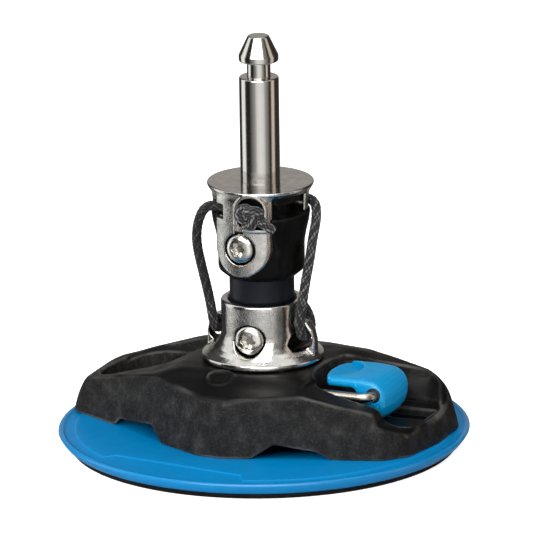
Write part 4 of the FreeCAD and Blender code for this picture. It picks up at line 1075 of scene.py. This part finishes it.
def make_stage():
    """A plain pale floor that keeps the shadow and looks white to the camera."""
    half = 6000.0
    floor = mesh_object("floor", [(-half, -half, 0), (half, -half, 0), (half, half, 0), (-half, half, 0)],
                        [(0, 1, 2, 3)])
    floor.location.z = -0.00002
    material, shader = new_material("pale_floor", (0.86, 0.86, 0.86), 0.8, shine=0.0)
    wire(material, cloudy(material, [(0.3, 0.85), (0.7, 0.87)], 30.0, 2.0), shader.inputs["Base Color"])
    shader.inputs["Emission Color"].default_value = (1, 1, 1, 1)
    seen = add(material, "ShaderNodeLightPath").outputs["Is Camera Ray"]
    wire(material, calculate(material, "MULTIPLY", seen, FLOOR_GLOW), shader.inputs["Emission Strength"])
    floor.data.materials.append(material)
    floor.visible_glossy = False


def camera_side(across, ahead, up):
    """A place given as metres to the right, towards the camera and up."""
    azimuth = math.radians(CAMERA_AZIMUTH)
    return (across * math.cos(azimuth) + ahead * math.sin(azimuth),
            across * math.sin(azimuth) - ahead * math.cos(azimuth), up)


def soft_box(name, place, aim_height, width, height, power):
    """A lamp that aims at a height on the mast's axis; its sizes are in metres, its power in watts."""
    data = bpy.data.lights.new(name, "AREA")
    data.shape = "RECTANGLE"
    data.size, data.size_y = width, height
    data.energy = power
    thing = bpy.data.objects.new(name, data)
    thing.location = place
    thing.rotation_mode = "QUATERNION"
    thing.rotation_quaternion = (Vector((0, 0, aim_height)) - Vector(place)).to_track_quat("-Z", "Y")
    thing.visible_glossy = False
    bpy.context.collection.objects.link(thing)


make_stage()
soft_box("soft_left", camera_side(-0.75, 0.25, 0.45), 0.06, 0.5, 0.8, 3.6)
soft_box("soft_right", camera_side(0.75, 0.15, 0.5), 0.06, 0.45, 0.8, 1.1)
soft_box("soft_top", camera_side(0.0, 0.1, 0.95), 0.03, 0.9, 0.7, 3.3)
soft_box("soft_front", camera_side(-0.35, 0.95, 0.36), 0.05, 0.7, 0.5, 8.6)


# What bright metal mirrors: soft boxes and dark flags, by direction in degrees; 0 is the camera's side
BANDS = [
    (-180, (0.40, 0.375, 0.35)), (-162, (0.35, 0.335, 0.315)), (-148, 0.03),
    (-122, 0.03), (-117, (1.2, 1.2, 1.17)), (-91, (1.2, 1.2, 1.17)),
    (-85, (0.03, 0.028, 0.026)), (-58, (0.02, 0.02, 0.018)), (-46, (0.18, 0.17, 0.16)),
    (-26, (0.42, 0.41, 0.39)), (-13, (0.95, 0.94, 0.92)), (4, (1.08, 1.07, 1.05)),
    (24, (0.9, 0.89, 0.87)), (36, (0.42, 0.41, 0.39)), (53, (0.20, 0.19, 0.17)),
    (60, (0.03, 0.028, 0.025)), (70, (0.03, 0.028, 0.025)), (76, (0.80, 0.66, 0.55)),
    (92, (0.85, 0.72, 0.62)), (99, (0.04, 0.036, 0.033)), (146, (0.04, 0.036, 0.033)),
    (162, (0.35, 0.33, 0.31)), (180, (0.40, 0.375, 0.35)),
]
MATT_GREY = (0.50, 0.50, 0.50)
WHITE = (1.0, 1.0, 1.0)


def share(owner, value, start, end):
    """Nought to one between two values, which may run downwards."""
    node = add(owner, "ShaderNodeMapRange", **{"From Min": start, "From Max": end})
    wire(owner, value, node.inputs["Value"])
    return node.outputs[0]


def patch(world, height, heights, angle, angles):
    """A part of the surroundings between heights (as a share of the distance) and angles in degrees."""
    low, high = (math.radians(degrees) for degrees in angles)
    return calculate(world, "MULTIPLY", share(world, height, *heights), share(world, angle, low, high))


def make_world():
    """White to the camera, plain grey to matt surfaces, soft boxes to mirrors."""
    world = bpy.data.worlds.new("world")
    bpy.context.scene.world = world
    world.use_nodes = True
    world.node_tree.nodes.clear()
    turn = add(world, "ShaderNodeVectorRotate", rotation_type="Z_AXIS",
               Angle=math.radians(90 - CAMERA_AZIMUTH))
    wire(world, add(world, "ShaderNodeTexCoord").outputs["Generated"], turn.inputs["Vector"])
    parts = add(world, "ShaderNodeSeparateXYZ")
    wire(world, turn.outputs[0], parts.inputs[0])
    height = parts.outputs["Z"]
    angle = calculate(world, "ARCTAN2", parts.outputs["Y"], parts.outputs["X"])
    aside = calculate(world, "ABSOLUTE", angle)
    from_box = calculate(world, "ABSOLUTE", calculate(world, "ADD", angle, math.radians(11.5)))
    mirrored = ramp(world, share(world, angle, -math.pi, math.pi),
                    [((degrees + 180) / 360, colour) for degrees, colour in BANDS])
    for mask, colour in (
        (patch(world, height, (0.34, 0.46), aside, (118, 134)), (0.08, 0.08, 0.08)),
        (patch(world, height, (0.40, 0.46), aside, (60, 50)), (0.26, 0.26, 0.25)),
        (share(world, height, 0.78, 0.90), (1.15, 1.14, 1.12)),
        (patch(world, height, (0.43, 0.48), from_box, (42, 37)), (5.0, 5.0, 4.9)),
        (share(world, height, -0.45, -0.75), (0.30, 0.30, 0.30)),
    ):
        mirrored = mix_colour(world, mask, mirrored, colour)
    ways = add(world, "ShaderNodeLightPath")
    seen = mix_colour(world, ways.outputs["Is Glossy Ray"], MATT_GREY, mirrored)
    seen = mix_colour(world, ways.outputs["Is Camera Ray"], seen, WHITE)
    background = add(world, "ShaderNodeBackground")
    wire(world, seen, background.inputs["Color"])
    wire(world, background.outputs[0], add(world, "ShaderNodeOutputWorld").inputs["Surface"])


make_world()
bpy.context.scene.view_settings.view_transform = "Standard"
